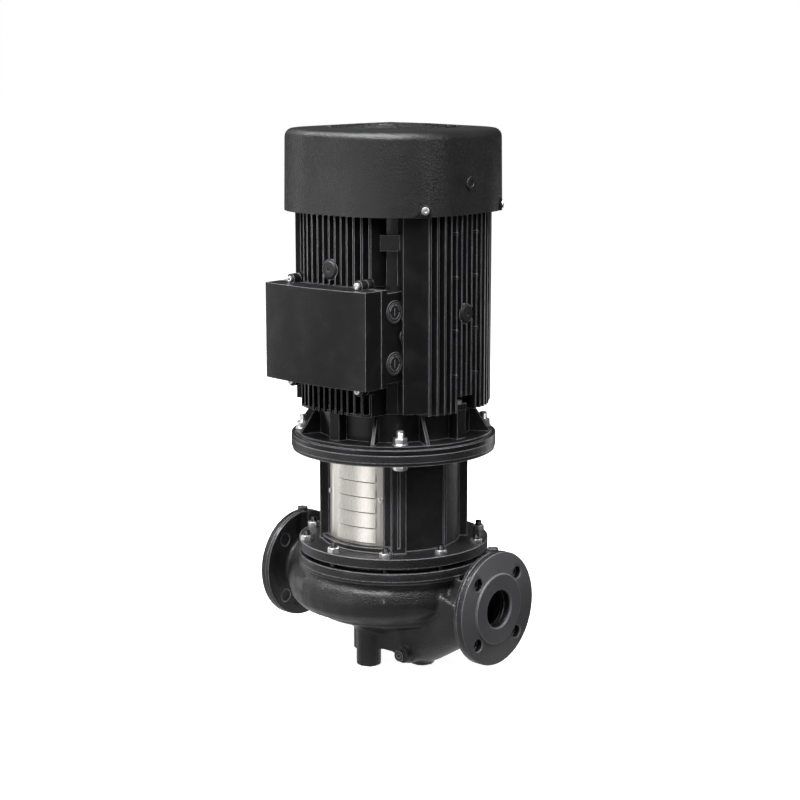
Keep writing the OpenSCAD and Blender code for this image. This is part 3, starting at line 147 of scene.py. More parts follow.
class PumpPaintSettings(bpy.types.PropertyGroup):
    """Colours of the painted and plated surfaces"""

    casting: FloatVectorProperty(
        name="Casting", description="Black paint of the pump castings",
        subtype="COLOR", size=3, min=0.0, max=1.0, default=(0.009, 0.009, 0.0095),
    )
    motor: FloatVectorProperty(
        name="Motor", description="Gloss black paint of the motor",
        subtype="COLOR", size=3, min=0.0, max=1.0, default=(0.004, 0.004, 0.0042),
    )
    cover: FloatVectorProperty(
        name="Cover", description="Moulded grey of the fan cover",
        subtype="COLOR", size=3, min=0.0, max=1.0, default=(0.008, 0.008, 0.0084),
    )
    sheet: FloatVectorProperty(
        name="Guard", description="Stainless sheet of the coupling guards",
        subtype="COLOR", size=3, min=0.0, max=1.0, default=(0.74, 0.71, 0.665),
    )
    plating: FloatVectorProperty(
        name="Plating", description="Zinc plating of the nuts and screws",
        subtype="COLOR", size=3, min=0.0, max=1.0, default=(0.84, 0.845, 0.85),
    )


class PumpEdgeSettings(bpy.types.PropertyGroup):
    """Sizes of the rounded edges"""

    cast_edge: FloatProperty(
        name="Cast edge", description="Radius of the edges of the castings",
        unit="LENGTH", min=0.0002, max=0.004, default=0.0012,
    )
    sheet_edge: FloatProperty(
        name="Sheet edge", description="Radius of the edges of sheet and moulded parts",
        unit="LENGTH", min=0.0001, max=0.002, default=0.0005,
    )


class PumpCastingSettings(bpy.types.PropertyGroup):
    """Sizes of the rounded pump casting"""

    voxel: FloatProperty(
        name="Grain of the core", description="Spacing of the mesh of the cast core",
        unit="LENGTH", min=0.0018, max=0.006, default=0.0024,
    )
    softening: IntProperty(
        name="Softening", description="Steps that round the corners of the cast core",
        min=0, max=40, default=20,
    )
    flange_edge: FloatProperty(
        name="Flange edge", description="Radius of the rim of the port flanges",
        unit="LENGTH", min=0.0005, max=0.004, default=0.002,
    )


class PumpStageSettings(bpy.types.PropertyGroup):
    """Camera and light of the picture"""

    lens: FloatProperty(
        name="Lens", description="Focal length on a sensor 36 mm wide",
        unit="CAMERA", min=20.0, max=200.0, default=83.17,
    )
    lights: FloatProperty(
        name="Lights", description="Strength of all the soft lights together",
        min=0.0, max=5.0, default=1.0,
    )
    room_light: FloatProperty(
        name="Room light", description="Strength of the even light all round",
        min=0.0, max=3.0, default=0.08,
    )


# Shader maths written as Python expressions


class Wire:
    """Output socket of a node that takes part in sums, each sum adding a Math node."""

    def __init__(self, paint, socket):
        self.paint = paint
        self.socket = socket

    def _sum(self, operation, first, second):
        """Adds a Math node with two inputs."""
        return self.paint.add("ShaderNodeMath", {"operation": operation}, {0: first, 1: second})

    def __add__(self, other):
        return self._sum("ADD", self, other)

    def __radd__(self, other):
        return self._sum("ADD", other, self)

    def __sub__(self, other):
        return self._sum("SUBTRACT", self, other)

    def __rsub__(self, other):
        return self._sum("SUBTRACT", other, self)

    def __mul__(self, other):
        return self._sum("MULTIPLY", self, other)

    def __rmul__(self, other):
        return self._sum("MULTIPLY", other, self)

    def __abs__(self):
        return self._sum("ABSOLUTE", self, 0.0)

    def root(self):
        """Square root."""
        return self._sum("SQRT", self, 0.0)

    def wave(self):
        """Sine, from -1 to 1."""
        return self._sum("SINE", self, 0.0)

    def fade(self, start, end):
        """Rises from 0 at start to 1 at end, or falls if end is the lower one."""
        return self.paint.add(
            "ShaderNodeMapRange", {"interpolation_type": "SMOOTHSTEP"}, {0: self, 1: start, 2: end}
        )


class Paint:
    """Material of one finish, with the nodes that feed its Principled shader."""

    def __init__(self, name, **constants):
        self.material = bpy.data.materials.new(name)
        self.material.use_nodes = True
        self.tree = self.material.node_tree
        self.tree.nodes.clear()
        self.shader = self.tree.nodes.new("ShaderNodeBsdfPrincipled")
        end = self.tree.nodes.new("ShaderNodeOutputMaterial")
        self.tree.links.new(self.shader.outputs[0], end.inputs[0])
        for socket, value in constants.items():
            self.feed(self.shader.inputs[socket.replace("_", " ")], value)
        self.place = self.add("ShaderNodeTexCoord", output="Object")

    def feed(self, socket, value):
        """Links a wire to a socket, or sets the socket's own value."""
        if isinstance(value, Wire):
            self.tree.links.new(value.socket, socket)
        elif hasattr(value, "__len__") and socket.type == "RGBA":
            socket.default_value = [*value[:3], 1.0]
        else:
            socket.default_value = value

    def add(self, kind, settings=None, sockets=None, output=0):
        """Adds a node: its settings are set first, then its sockets, and one output comes back."""
        node = self.tree.nodes.new(kind)
        for key, value in (settings or {}).items():
            setattr(node, key, value)
        for key, value in (sockets or {}).items():
            self.feed(node.inputs[key], value)
        return Wire(self, node.outputs[output])

    def axes(self):
        """The three coordinates of the place, as wires."""
        parts = self.add("ShaderNodeSeparateXYZ", {}, {0: self.place}).socket.node
        return [Wire(self, socket) for socket in parts.outputs]

    def stretched(self, x, y, z):
        """The place with its axes scaled, for marks that run one way."""
        return self.add("ShaderNodeVectorMath", {"operation": "MULTIPLY"}, {0: self.place, 1: (x, y, z)})

    def noise(self, scale, detail=2.0, place=None):
        """Soft clouds, about as many to a metre as the scale says."""
        sockets = {"Vector": place or self.place, "Scale": scale, "Detail": detail}
        return self.add("ShaderNodeTexNoise", {}, sockets)

    def cells(self, scale):
        """Distance to the middle of the nearest cell."""
        return self.add("ShaderNodeTexVoronoi", {}, {"Vector": self.place, "Scale": scale})

    def mix(self, share, first, second):
        """Mixes two colours by a share from 0 to 1."""
        return self.add("ShaderNodeMix", {"data_type": "RGBA"}, {0: share, 6: first, 7: second}, output=2)

    def rounded(self, radius):
        """Normal of the surface with its edges rounded."""
        return self.add("ShaderNodeBevel", {"samples": 6}, {"Radius": radius})

    def edge(self, radius):
        """1 at an edge and 0 on a flat face; it is the mask of the painted highlights along edges."""
        true = self.add("ShaderNodeNewGeometry", output="Normal")
        along = self.add(
            "ShaderNodeVectorMath", {"operation": "DOT_PRODUCT"},
            {0: self.rounded(radius), 1: true}, output="Value",
        )
        return (1.0 - along).fade(0.006, 0.09)

    def bump(self, height, distance, normal=None):
        """Feeds the shader's normal with a height given as a share of a distance in metres."""
        sockets = {"Strength": 1.0, "Distance": distance, "Height": height}
        if normal is not None:
            sockets["Normal"] = normal
        self.feed(self.shader.inputs["Normal"], self.add("ShaderNodeBump", {}, sockets))

    def colour(self, value):
        """Feeds the shader's colour."""
        self.feed(self.shader.inputs["Base Color"], value)

    def gloss(self, value):
        """Feeds the shader's roughness."""
        self.feed(self.shader.inputs["Roughness"], value)


def scaled(colour, factor):
    """A colour made lighter or darker."""
    return [min(1.0, channel * factor) for channel in colour]


# Finishes


def cast_paint(name, colour, edge_r, port_faces=False):
    """Semi-gloss black over a sand casting, with orange peel and a painted highlight along its edges."""
    paint = Paint(name, Specular_IOR_Level=0.25, Coat_Weight=0.15, Coat_Roughness=0.12)
    peel = paint.noise(430.0, 3.0)
    sand = paint.noise(1100.0, 2.0)
    patches = paint.noise(14.0, 4.0)
    edge = paint.edge(edge_r * 2.0)
    base = paint.mix(patches.fade(0.35, 0.7), scaled(colour, 0.8), scaled(colour, 1.5))
    rough = 0.2 + 0.14 * peel + 0.08 * patches
    height = 0.8 * peel + 0.2 * sand
    if port_faces:
        x, y, z = paint.axes()
        on_face = abs(x).fade(PORT_X - 4.2 * MM, PORT_X - 3.4 * MM)
        out = (y * y + (z - PORT_Z) * (z - PORT_Z)).root()
        ripples = 4200.0
        turned = (out * ripples).wave() * 0.5 + 0.5
        base = paint.mix(on_face, base, scaled(colour, 6.0))
        rough = rough + on_face * (0.12 + 0.1 * turned)
        height = height * (1.0 - on_face * 0.7) + on_face * turned * 0.12
    # Painted highlight: the colour is lightened along the edges, where light would catch the rounding.
    paint.colour(paint.mix(edge * 0.8, base, scaled(colour, 24.0)))
    paint.gloss(rough)
    paint.bump(height, 0.0014, paint.rounded(edge_r))
    return paint.material


def motor_paint(name, colour, edge_r):
    """Gloss black over a smooth casting, with a painted highlight along its edges."""
    paint = Paint(name, Specular_IOR_Level=0.2, Coat_Weight=0.05, Coat_Roughness=0.1)
    peel = paint.noise(420.0, 2.0)
    dust = paint.noise(35.0, 5.0)
    edge = paint.edge(edge_r)
    base = paint.mix(dust.fade(0.45, 0.75), colour, scaled(colour, 1.8))
    # Painted highlight: the colour is lightened far past the black along the edges.
    paint.colour(paint.mix(edge * 0.85, base, scaled(colour, 85.0)))
    paint.gloss(0.26 + 0.14 * dust)
    paint.bump(peel, 0.00025, paint.rounded(edge_r))
    return paint.material


def moulded_cover(name, colour):
    """Moulded composite with a leathery grain, coarser on the side away from the ports."""
    paint = Paint(name, Specular_IOR_Level=0.28)
    x = paint.axes()[0]
    coarse = x.fade(-0.02, -0.11)
    grain = paint.cells(360.0)
    fine = paint.noise(1500.0, 2.0)
    cloud = paint.noise(11.0, 3.0)
    paint.colour(paint.mix(cloud.fade(0.3, 0.7), scaled(colour, 0.85), scaled(colour, 1.25)))
    paint.gloss(0.22 + 0.08 * fine + 0.05 * cloud)
    paint.bump((0.2 + 0.8 * coarse) * grain + 0.2 * fine, 0.0016, paint.rounded(0.0008))
    return paint.material


def brushed_sheet(name, colour):
    """Stainless sheet brushed up and down, with faint smears."""
    paint = Paint(name, Metallic=1.0)
    lines = paint.noise(900.0, 4.0, paint.stretched(1.0, 1.0, 0.02))
    smear = paint.noise(22.0, 4.0, paint.stretched(1.0, 1.0, 0.3))
    tone = paint.mix(lines.fade(0.3, 0.75), scaled(colour, 0.86), scaled(colour, 1.08))
    paint.colour(paint.mix(smear.fade(0.5, 0.8) * 0.35, tone, scaled(colour, 0.78)))
    paint.gloss(0.24 + 0.16 * lines + 0.08 * smear)
    paint.bump(lines, 0.00006, paint.rounded(0.0004))
    return paint.material


def plated_steel(name, colour):
    """Plated steel with a fine spangle and dull patches."""
    paint = Paint(name, Metallic=1.0)
    spangle = paint.cells(520.0)
    dull = paint.noise(160.0, 4.0)
    paint.colour(paint.mix(dull.fade(0.35, 0.7), scaled(colour, 0.75), colour))
    paint.gloss(0.22 + 0.2 * dull + 0.06 * spangle)
    paint.bump(dull, 0.00012, paint.rounded(0.0004))
    return paint.material


def turned_steel(name, colour, pitch=0.0006, rough=0.22):
    """Steel turned in a lathe, with fine marks round the shaft axis."""
    paint = Paint(name, Metallic=1.0)
    x, y, z = paint.axes()
    out = (x * x + y * y).root()
    marks = ((z + out) * (2 * math.pi / pitch)).wave() * 0.5 + 0.5
    stain = paint.noise(60.0, 4.0)
    paint.colour(paint.mix(stain.fade(0.4, 0.7), scaled(colour, 0.82), colour))
    paint.gloss(rough + 0.08 * marks + 0.1 * stain)
    paint.bump(marks, 0.00002, paint.rounded(0.0004))
    return paint.material


def stacked_sheet(name, colour):
    """Edges of stacked electrical sheet, one line to each."""
    paint = Paint(name, Metallic=0.8)
    z = paint.axes()[2]
    sheet = 0.0012
    layers = (z * (2 * math.pi / sheet)).wave() * 0.5 + 0.5
    rust = paint.noise(70.0, 4.0)
    tone = paint.mix(layers, scaled(colour, 0.6), colour)
    paint.colour(paint.mix(rust.fade(0.6, 0.85) * 0.4, tone, (0.12, 0.07, 0.04)))
    paint.gloss(0.42 + 0.16 * rust)
    paint.bump(layers, 0.00012)
    return paint.material


def wound_copper(name, colour):
    """Varnished round wire laid side by side."""
    paint = Paint(name, Metallic=0.75, Coat_Weight=0.6, Coat_Roughness=0.15)
    x, y, z = paint.axes()
    out = (x * x + y * y).root()
    pitch = 0.0016
    wires = ((out + z * 0.35) * (2 * math.pi / pitch)).wave() * 0.5 + 0.5
    varnish = paint.noise(80.0, 3.0)
    paint.colour(paint.mix(wires, scaled(colour, 0.45), colour))
    paint.gloss(0.28 + 0.2 * varnish)
    paint.bump(wires, 0.0004)
    return paint.material


def plain_metal(name, colour, rough, grain=400.0, depth=0.0001):
    """Cast or pressed metal without paint."""
    paint = Paint(name, Metallic=1.0)
    pits = paint.noise(grain, 4.0)
    stain = paint.noise(30.0, 4.0)
    paint.colour(paint.mix(stain.fade(0.35, 0.7), scaled(colour, 0.75), colour))
    paint.gloss(rough + 0.15 * pits)
    paint.bump(pits, depth, paint.rounded(0.0005))
    return paint.material


def moulded_black(name, colour, rough=0.42, grain=700.0):
    """Plastic or rubber with a fine moulded grain and a painted highlight along its edges."""
    paint = Paint(name, Specular_IOR_Level=0.3)
    pores = paint.noise(grain, 3.0)
    wear = paint.noise(40.0, 4.0)
    edge = paint.edge(0.0009)
    base = paint.mix(wear.fade(0.4, 0.75), scaled(colour, 0.8), scaled(colour, 1.5))
    # Painted highlight: the colour is lightened along the edges.
    paint.colour(paint.mix(edge * 0.7, base, scaled(colour, 30.0)))
    paint.gloss(rough + 0.14 * pores)
    paint.bump(pores, 0.00015, paint.rounded(0.0005))
    return paint.material


def finishes(settings, edges):
    """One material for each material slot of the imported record."""
    return {
        "pump_casting": cast_paint("cast_paint", settings.casting, edges.cast_edge, port_faces=True),
        "motor_paint": motor_paint("motor_paint", settings.motor, edges.sheet_edge * 1.6),
        "cover_plastic": moulded_cover("moulded_cover", settings.cover),
        "stainless_sheet": brushed_sheet("brushed_sheet", settings.sheet),
        "zinc_steel": plated_steel("zinc_plating", settings.plating),
        "dark_steel": plated_steel("dark_steel", (0.06, 0.06, 0.063)),
        "shaft_steel": turned_steel("turned_steel", (0.48, 0.48, 0.49)),
        "bearing_steel": turned_steel("ground_steel", (0.58, 0.58, 0.6), 0.0004, 0.12),
        "core_steel": stacked_sheet("stacked_sheet", (0.3, 0.3, 0.31)),
        "rotor_aluminium": plain_metal("cast_aluminium", (0.68, 0.69, 0.7), 0.38),
        "copper_winding": wound_copper("wound_copper", (0.62, 0.24, 0.1)),
        "stud_brass": plain_metal("brass", (0.7, 0.48, 0.2), 0.22, 900.0, 0.00003),
        "bronze": plain_metal("bronze", (0.5, 0.3, 0.14), 0.3, 500.0, 0.00008),
        "impeller_iron": plain_metal("raw_iron", (0.16, 0.15, 0.14), 0.5, 260.0, 0.0004),
        "coupling_iron": cast_paint("coupling_paint", (0.025, 0.025, 0.027), edges.cast_edge),
        "seal_rubber": moulded_black("rubber", (0.01, 0.01, 0.01), 0.6),
        "seal_carbon": moulded_black("carbon", (0.02, 0.02, 0.021), 0.3, 1500.0),
        "plug_plastic": moulded_black("black_plastic", (0.006, 0.006, 0.0063)),
        "block_plastic": moulded_black("brown_thermoset", (0.03, 0.014, 0.006), 0.38),
    }


MATERIALS = {}


def dress(piece, slot):
    """Gives a piece the finish of one material slot."""
    piece.data.materials.clear()
    piece.data.materials.append(MATERIALS[slot])


class PUMP_OT_finishes(bpy.types.Operator):
    """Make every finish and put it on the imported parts"""

    bl_idname = "pump.finishes"
    bl_label = "Finishes"

    def execute(self, context):
        scene = context.scene
        MATERIALS.update(finishes(scene.pump_paint, scene.pump_edges))
        for node, piece in frame["nodes"].items():
            dress(piece, SLOT_OF[node])
        return {"FINISHED"}


# Tools that every piece is made with


def only(*pieces):
    """Selects these pieces and nothing else, with the first one active."""
    bpy.ops.object.select_all(action="DESELECT")
    for piece in pieces:
        piece.select_set(True)
    bpy.context.view_layer.objects.active = pieces[0]


def modify(piece, kind, **settings):
    """Adds a modifier to a piece and applies it."""
    only(piece)
    bpy.ops.object.modifier_add(type=kind)
    modifier = piece.modifiers[-1]
    for name, value in settings.items():
        setattr(modifier, name, value)
    bpy.ops.object.modifier_apply(modifier=modifier.name)


def bevel(piece, width, angle=30.0, segments=2):
    """Rounds the edges of a piece that are sharper than an angle."""
    modify(
        piece, "BEVEL", width=width, segments=segments, limit_method="ANGLE",
        angle_limit=math.radians(angle),
    )


def tidy(piece, flat=None):
    """Merges the doubles of a piece, joins its flat faces and turns its normals out."""
    only(piece)
    bpy.ops.object.mode_set(mode="EDIT")
    bpy.ops.mesh.select_all(action="SELECT")
    bpy.ops.mesh.remove_doubles(threshold=0.00002)
    if flat:
        bpy.ops.mesh.dissolve_limited(angle_limit=math.radians(flat))
    bpy.ops.mesh.normals_make_consistent(inside=False)
    bpy.ops.object.mode_set(mode="OBJECT")


def smooth(piece, angle=32.0):
    """Shades a piece smooth, with its edges kept sharp past an angle."""
    only(piece)
    bpy.ops.object.shade_smooth_by_angle(angle=math.radians(angle))


def settle(piece):
    """Moves the place, turn and scale of a piece into its mesh."""
    only(piece)
    bpy.ops.object.transform_apply(location=True, rotation=True, scale=True)


def join(*pieces):
    """Makes one piece of several, which keeps the first one's name."""
    only(*pieces)
    bpy.ops.object.join()
    return pieces[0]


def cut(piece, *tools, operation="DIFFERENCE"):
    """Takes the space of other pieces out of a piece, and removes them."""
    tool = join(*tools)
    modify(piece, "BOOLEAN", object=tool, operation=operation, solver="EXACT")
    only(tool)
    bpy.ops.object.delete()


def block(low, high):
    """Plain block between two corners, used to cut with."""
    low, high = Vector(low), Vector(high)
    bpy.ops.mesh.primitive_cube_add(size=1.0, location=(low + high) / 2)
    piece = bpy.context.active_object
    piece.scale = high - low
    settle(piece)
    return piece


def lathe(name, profile, sides=48, ring=False):
    """Body turned about the Z axis, with one ring of points for each radius and height of a profile.

    A ring profile ends where it starts. Any other profile is closed by its first and last discs.
    """
    radius, height = profile[0]
    bpy.ops.mesh.primitive_circle_add(
        vertices=sides, radius=radius, fill_type="NOTHING" if ring else "NGON", location=(0, 0, height)
    )
    piece = bpy.context.active_object
    piece.name = name
    bpy.ops.object.transform_apply(location=True, rotation=False, scale=False)
    bpy.ops.object.mode_set(mode="EDIT")
    for next_radius, next_height in profile[1:]:
        bpy.ops.mesh.extrude_region_move(
            TRANSFORM_OT_translate={"value": (0.0, 0.0, next_height - height)}
        )
        share = next_radius / radius
        bpy.ops.transform.resize(value=(share, share, 1.0), center_override=(0.0, 0.0, next_height))
        radius, height = next_radius, next_height
    bpy.ops.object.mode_set(mode="OBJECT")
    tidy(piece)
    return piece


def hoop(name, inner, outer, low, high, sides):
    """Ring of rectangular section about the Z axis."""
    profile = [(inner, low), (outer, low), (outer, high), (inner, high), (inner, low)]
    return lathe(name, profile, sides=sides, ring=True)


def on_circle(radius, turn, z=0.0):
    """Point at a radius from the shaft axis, turned from +X."""
    return (radius * math.cos(turn), radius * math.sin(turn), z)


def place(piece, where, axis=(0.0, 0.0, 1.0), turn=0.0):
    """Puts a piece modelled along Z at a place, with its axis turned to another one."""
    quaternion = Vector(axis).to_track_quat("Z", "Y")
    piece.rotation_mode = "QUATERNION"
    piece.rotation_quaternion = quaternion @ Matrix.Rotation(turn, 4, "Z").to_quaternion()
    piece.location = where
    settle(piece)
    piece.rotation_mode = "XYZ"
    return piece


def copies(piece, name, places):
    """Copies of a finished piece, each with its own mesh, joined as one piece at their places."""
    made = []
    for spot in places:
        only(piece)
        bpy.ops.object.duplicate()
        made.append(place(bpy.context.active_object, *spot))
    only(piece)
    bpy.ops.object.delete()
    whole = join(*made)
    whole.name = name
    return whole


def packed_copy(node, flat=None):
    """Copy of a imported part, merged and ready to be worked on, that hasn't replaced it yet."""
    only(frame["nodes"][node])
    bpy.ops.object.duplicate()
    piece = bpy.context.active_object
    bpy.ops.object.parent_clear(type="CLEAR_KEEP_TRANSFORM")
    del piece["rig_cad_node"]
    piece.name = node + "_finish"
    piece.data.name = piece.name
    tidy(piece, flat)
    return piece


def stand_for(piece, *nodes):
    """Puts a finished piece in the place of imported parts, on their body and with their finish."""
    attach(piece, BODY_OF[nodes[0]])
    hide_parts(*nodes)
    dress(piece, SLOT_OF[nodes[0]])


# Pump housing


class PUMP_OT_housing(bpy.types.Operator):
    """Model the cast housing: a softly rounded core with machined flanges"""

    bl_idname = "pump.housing"
    bl_label = "Pump housing"

    def execute(self, context):
        sizes = context.scene.pump_casting
        core = packed_copy("pump_housing")
        core = join(core, *self.plugs(), self.web(), self.liner())
        modify(core, "REMESH", mode="VOXEL", voxel_size=sizes.voxel, adaptivity=0.0)
        self.soften(core, sizes)
        cut(core, *self.trims())
        cut(core, *self.bores())
        smooth(core, 40.0)
        near = self.flange(1, sizes)
        away = self.flange(-1, sizes)
        stand_for(join(core, near, away, self.joint_ring()), "pump_housing")
        return {"FINISHED"}

    def plugs(self):
        """Rods that fill the small holes while the core is remeshed."""
        x, offset = PORT_X - FLANGE_T / 2, 44.2 * MM
        rods = [
            self.rod(*PORT_ROD, (side * x, y * offset, PORT_Z + z * offset), (1.0, 0.0, 0.0))
            for side, y, z in product((-1, 1), repeat=3)
        ]
        rods += [self.rod(*STUD_ROD, on_circle(STUD_CIRCLE, turn, JOINT_Z - 9 * MM)) for turn in STUD_TURNS]
        rods += [self.rod(*FOOT_ROD, on_circle(FOOT_CIRCLE, turn, 11.5 * MM)) for turn in FOOT_TURNS]
        rods += [self.rod(*TAP_ROD, (side * GAUGE_X, 0.0, GAUGE_Z - 8 * MM)) for side in (-1, 1)]
        rods.append(self.rod(*TAP_ROD, (DRAIN[0], DRAIN[1] + 8 * MM, DRAIN[2]), (0.0, 1.0, 0.0)))
        return rods

    def web(self):
        """Rib under the volute, between a foot and the drain boss."""
        x, y, z = DRAIN
        return block((0.0, y + 1 * MM, z), (x, y + 13 * MM, z + 34 * MM))

    def liner(self):
        """Lining of the chamber where the spiral starts, so that its thin wall outlasts the remesh."""
        inner, outer, low = 109 * MM, 118.3 * MM, 84 * MM
        start_y, far, top = 45 * MM, 200 * MM, 300 * MM
        ring = hoop("liner", inner, outer, low, JOINT_Z - 17 * MM, 96)
        cut(ring, block((-far, -far, 0.0), (far, start_y, top)))
        return ring

    def rod(self, radius, length, middle, axis=(0.0, 0.0, 1.0)):
        """Plain round rod about its middle."""
        bpy.ops.mesh.primitive_cylinder_add(vertices=24, radius=radius, depth=length)
        return place(bpy.context.active_object, middle, axis)

    def trims(self):
        """Blocks that cut the core back from the ports and the joint, and off at the floor."""
        back, far = PORT_X - FLANGE_T + 5 * MM, PORT_X + 20 * MM
        port_y, joint_xy, floor_xy, top = 100 * MM, 170 * MM, 200 * MM, 250 * MM
        return [
            block((back, -port_y, 0.0), (far, port_y, top)),
            block((-far, -port_y, 0.0), (-back, port_y, top)),
            block((-joint_xy, -joint_xy, JOINT_Z - 12 * MM), (joint_xy, joint_xy, top)),
            block((-floor_xy, -floor_xy, -10 * MM), (floor_xy, floor_xy, 0.0)),
        ]

    def soften(self, core, sizes):
        """Rounds all of the core but its joint face and its feet, as a sand mould does."""
        group = core.vertex_groups.new(name="soft")
        for vertex in core.data.vertices:
            if 1.5 * MM < vertex.co.z < JOINT_Z - 8 * MM:
                group.add([vertex.index], 1.0, "REPLACE")
        modify(core, "SMOOTH", factor=0.5, iterations=sizes.softening, vertex_group="soft")
        core.vertex_groups.clear()

    def bores(self):
        """Tools for the taps of the gauges, the drain and the feet."""
        length, foot_length = 30 * MM, 44 * MM
        tools = [self.rod(TAP_R, length, (side * GAUGE_X, 0.0, GAUGE_Z + 1 * MM)) for side in (-1, 1)]
        tools.append(self.rod(TAP_R, length, (DRAIN[0], DRAIN[1] - 1 * MM, DRAIN[2]), (0.0, 1.0, 0.0)))
        tools += [self.rod(FOOT_TAP_R, foot_length, on_circle(FOOT_CIRCLE, turn)) for turn in FOOT_TURNS]
        return tools

    def flange(self, side, sizes):
        """Machined port flange with its raised face, bolt holes and the bore."""
        rim = FLANGE_R
        round_off = sizes.flange_edge
        face = PORT_X - FACE_H
        back = PORT_X - FLANGE_T
        disc = lathe("flange", [
            (rim - 14 * MM, back), (rim - round_off, back),
            (rim - round_off * 0.3, back + round_off * 0.3), (rim, back + round_off),
            (rim, face - round_off * 0.7), (rim - round_off * 0.2, face - round_off * 0.2),
            (rim - round_off * 0.7, face), (FACE_R + 1.6 * MM, face), (FACE_R + 0.4 * MM, face + 0.5 * MM),
            (FACE_R, face + 1.2 * MM), (FACE_R, PORT_X - 0.5 * MM), (FACE_R - 0.5 * MM, PORT_X),
            (PORT_R + 1.2 * MM, PORT_X), (PORT_R, PORT_X - 1.2 * MM), (PORT_R, back),
            (rim - 14 * MM, back),
        ], sides=96, ring=True)
        hole_r = MOUNTS["suction_flange" if side > 0 else "discharge_flange"]["dims"]["hole_r_mm"] * MM
        hole = lathe("hole", [
            (hole_r + 1 * MM, back - 1 * MM), (hole_r + 1 * MM, back), (hole_r, back + 1 * MM),
            (hole_r, face - 1 * MM), (hole_r + 1 * MM, face), (hole_r + 1 * MM, face + 5 * MM),
        ], sides=32)
        spots = [(on_circle(FLANGE_HOLE_CIRCLE, math.pi / 4 + math.pi / 2 * k),) for k in range(4)]
        cut(disc, copies(hole, "holes", spots))
        place(disc, (0.0, 0.0, PORT_Z), (side, 0.0, 0.0))
        smooth(disc, 35.0)
        return disc

    def joint_ring(self):
        """Machined rim that the stool is bolted to."""
        top, low = JOINT_Z, JOINT_Z - 16.5 * MM
        ring = lathe("rim", [
            (JOINT_BORE_R, low), (JOINT_R - 2.2 * MM, low), (JOINT_R - 0.6 * MM, low + 0.7 * MM),
            (JOINT_R, low + 2.2 * MM), (JOINT_R, top - 1.5 * MM), (JOINT_R - 0.5 * MM, top - 0.5 * MM),
            (JOINT_R - 1.5 * MM, top), (JOINT_BORE_R, top), (JOINT_BORE_R, low),
        ], sides=128, ring=True)
        smooth(ring, 35.0)
        return ring


# Small fasteners


def hexagon(name, across, height, chamfer=0.0, hole_r=0.0):
    """Hexagon nut or head along +Z from zero, with its corners turned off at the free end."""
    corner = across / math.sqrt(3)
    flat = across / 2 * 0.97
    slope = math.tan(math.radians(28))
    bpy.ops.mesh.primitive_cylinder_add(
        vertices=6, radius=corner, depth=height, location=(0, 0, height / 2)
    )
    nut = bpy.context.active_object
    nut.name = name
    settle(nut)
    drop = (corner - flat) * slope
    barrel = lathe("barrel", [
        (corner + 1 * MM, -1 * MM), (corner + 1 * MM, height - drop - 1 * MM * slope),
        (flat, height), (flat * 0.5, height + 0.5 * MM),
    ], sides=48)
    cut(nut, barrel, operation="INTERSECT")
    if hole_r:
        hole = lathe("hole", [
            (hole_r, -2 * MM), (hole_r, height - chamfer), (hole_r + chamfer, height),
            (hole_r + chamfer, height + 2 * MM),
        ], sides=32)
        cut(nut, hole)
    bevel(nut, 0.25 * MM, 25.0)
    smooth(nut, 30.0)
    return nut


def threaded_rod(name, radius, low, high, pitch):
    """Rod with thread grooves and a chamfered end."""
    profile = [(radius * 0.96, low)]
    height = low
    while height + pitch < high - 0.8 * MM:
        profile += [
            (radius, height + pitch * 0.35), (radius, height + pitch * 0.5), (radius * 0.88, height + pitch)
        ]
        height += pitch
    profile += [(radius * 0.94, high - 0.8 * MM), (radius * 0.78, high)]
    rod = lathe(name, profile, sides=24)
    smooth(rod, 50.0)
    return rod


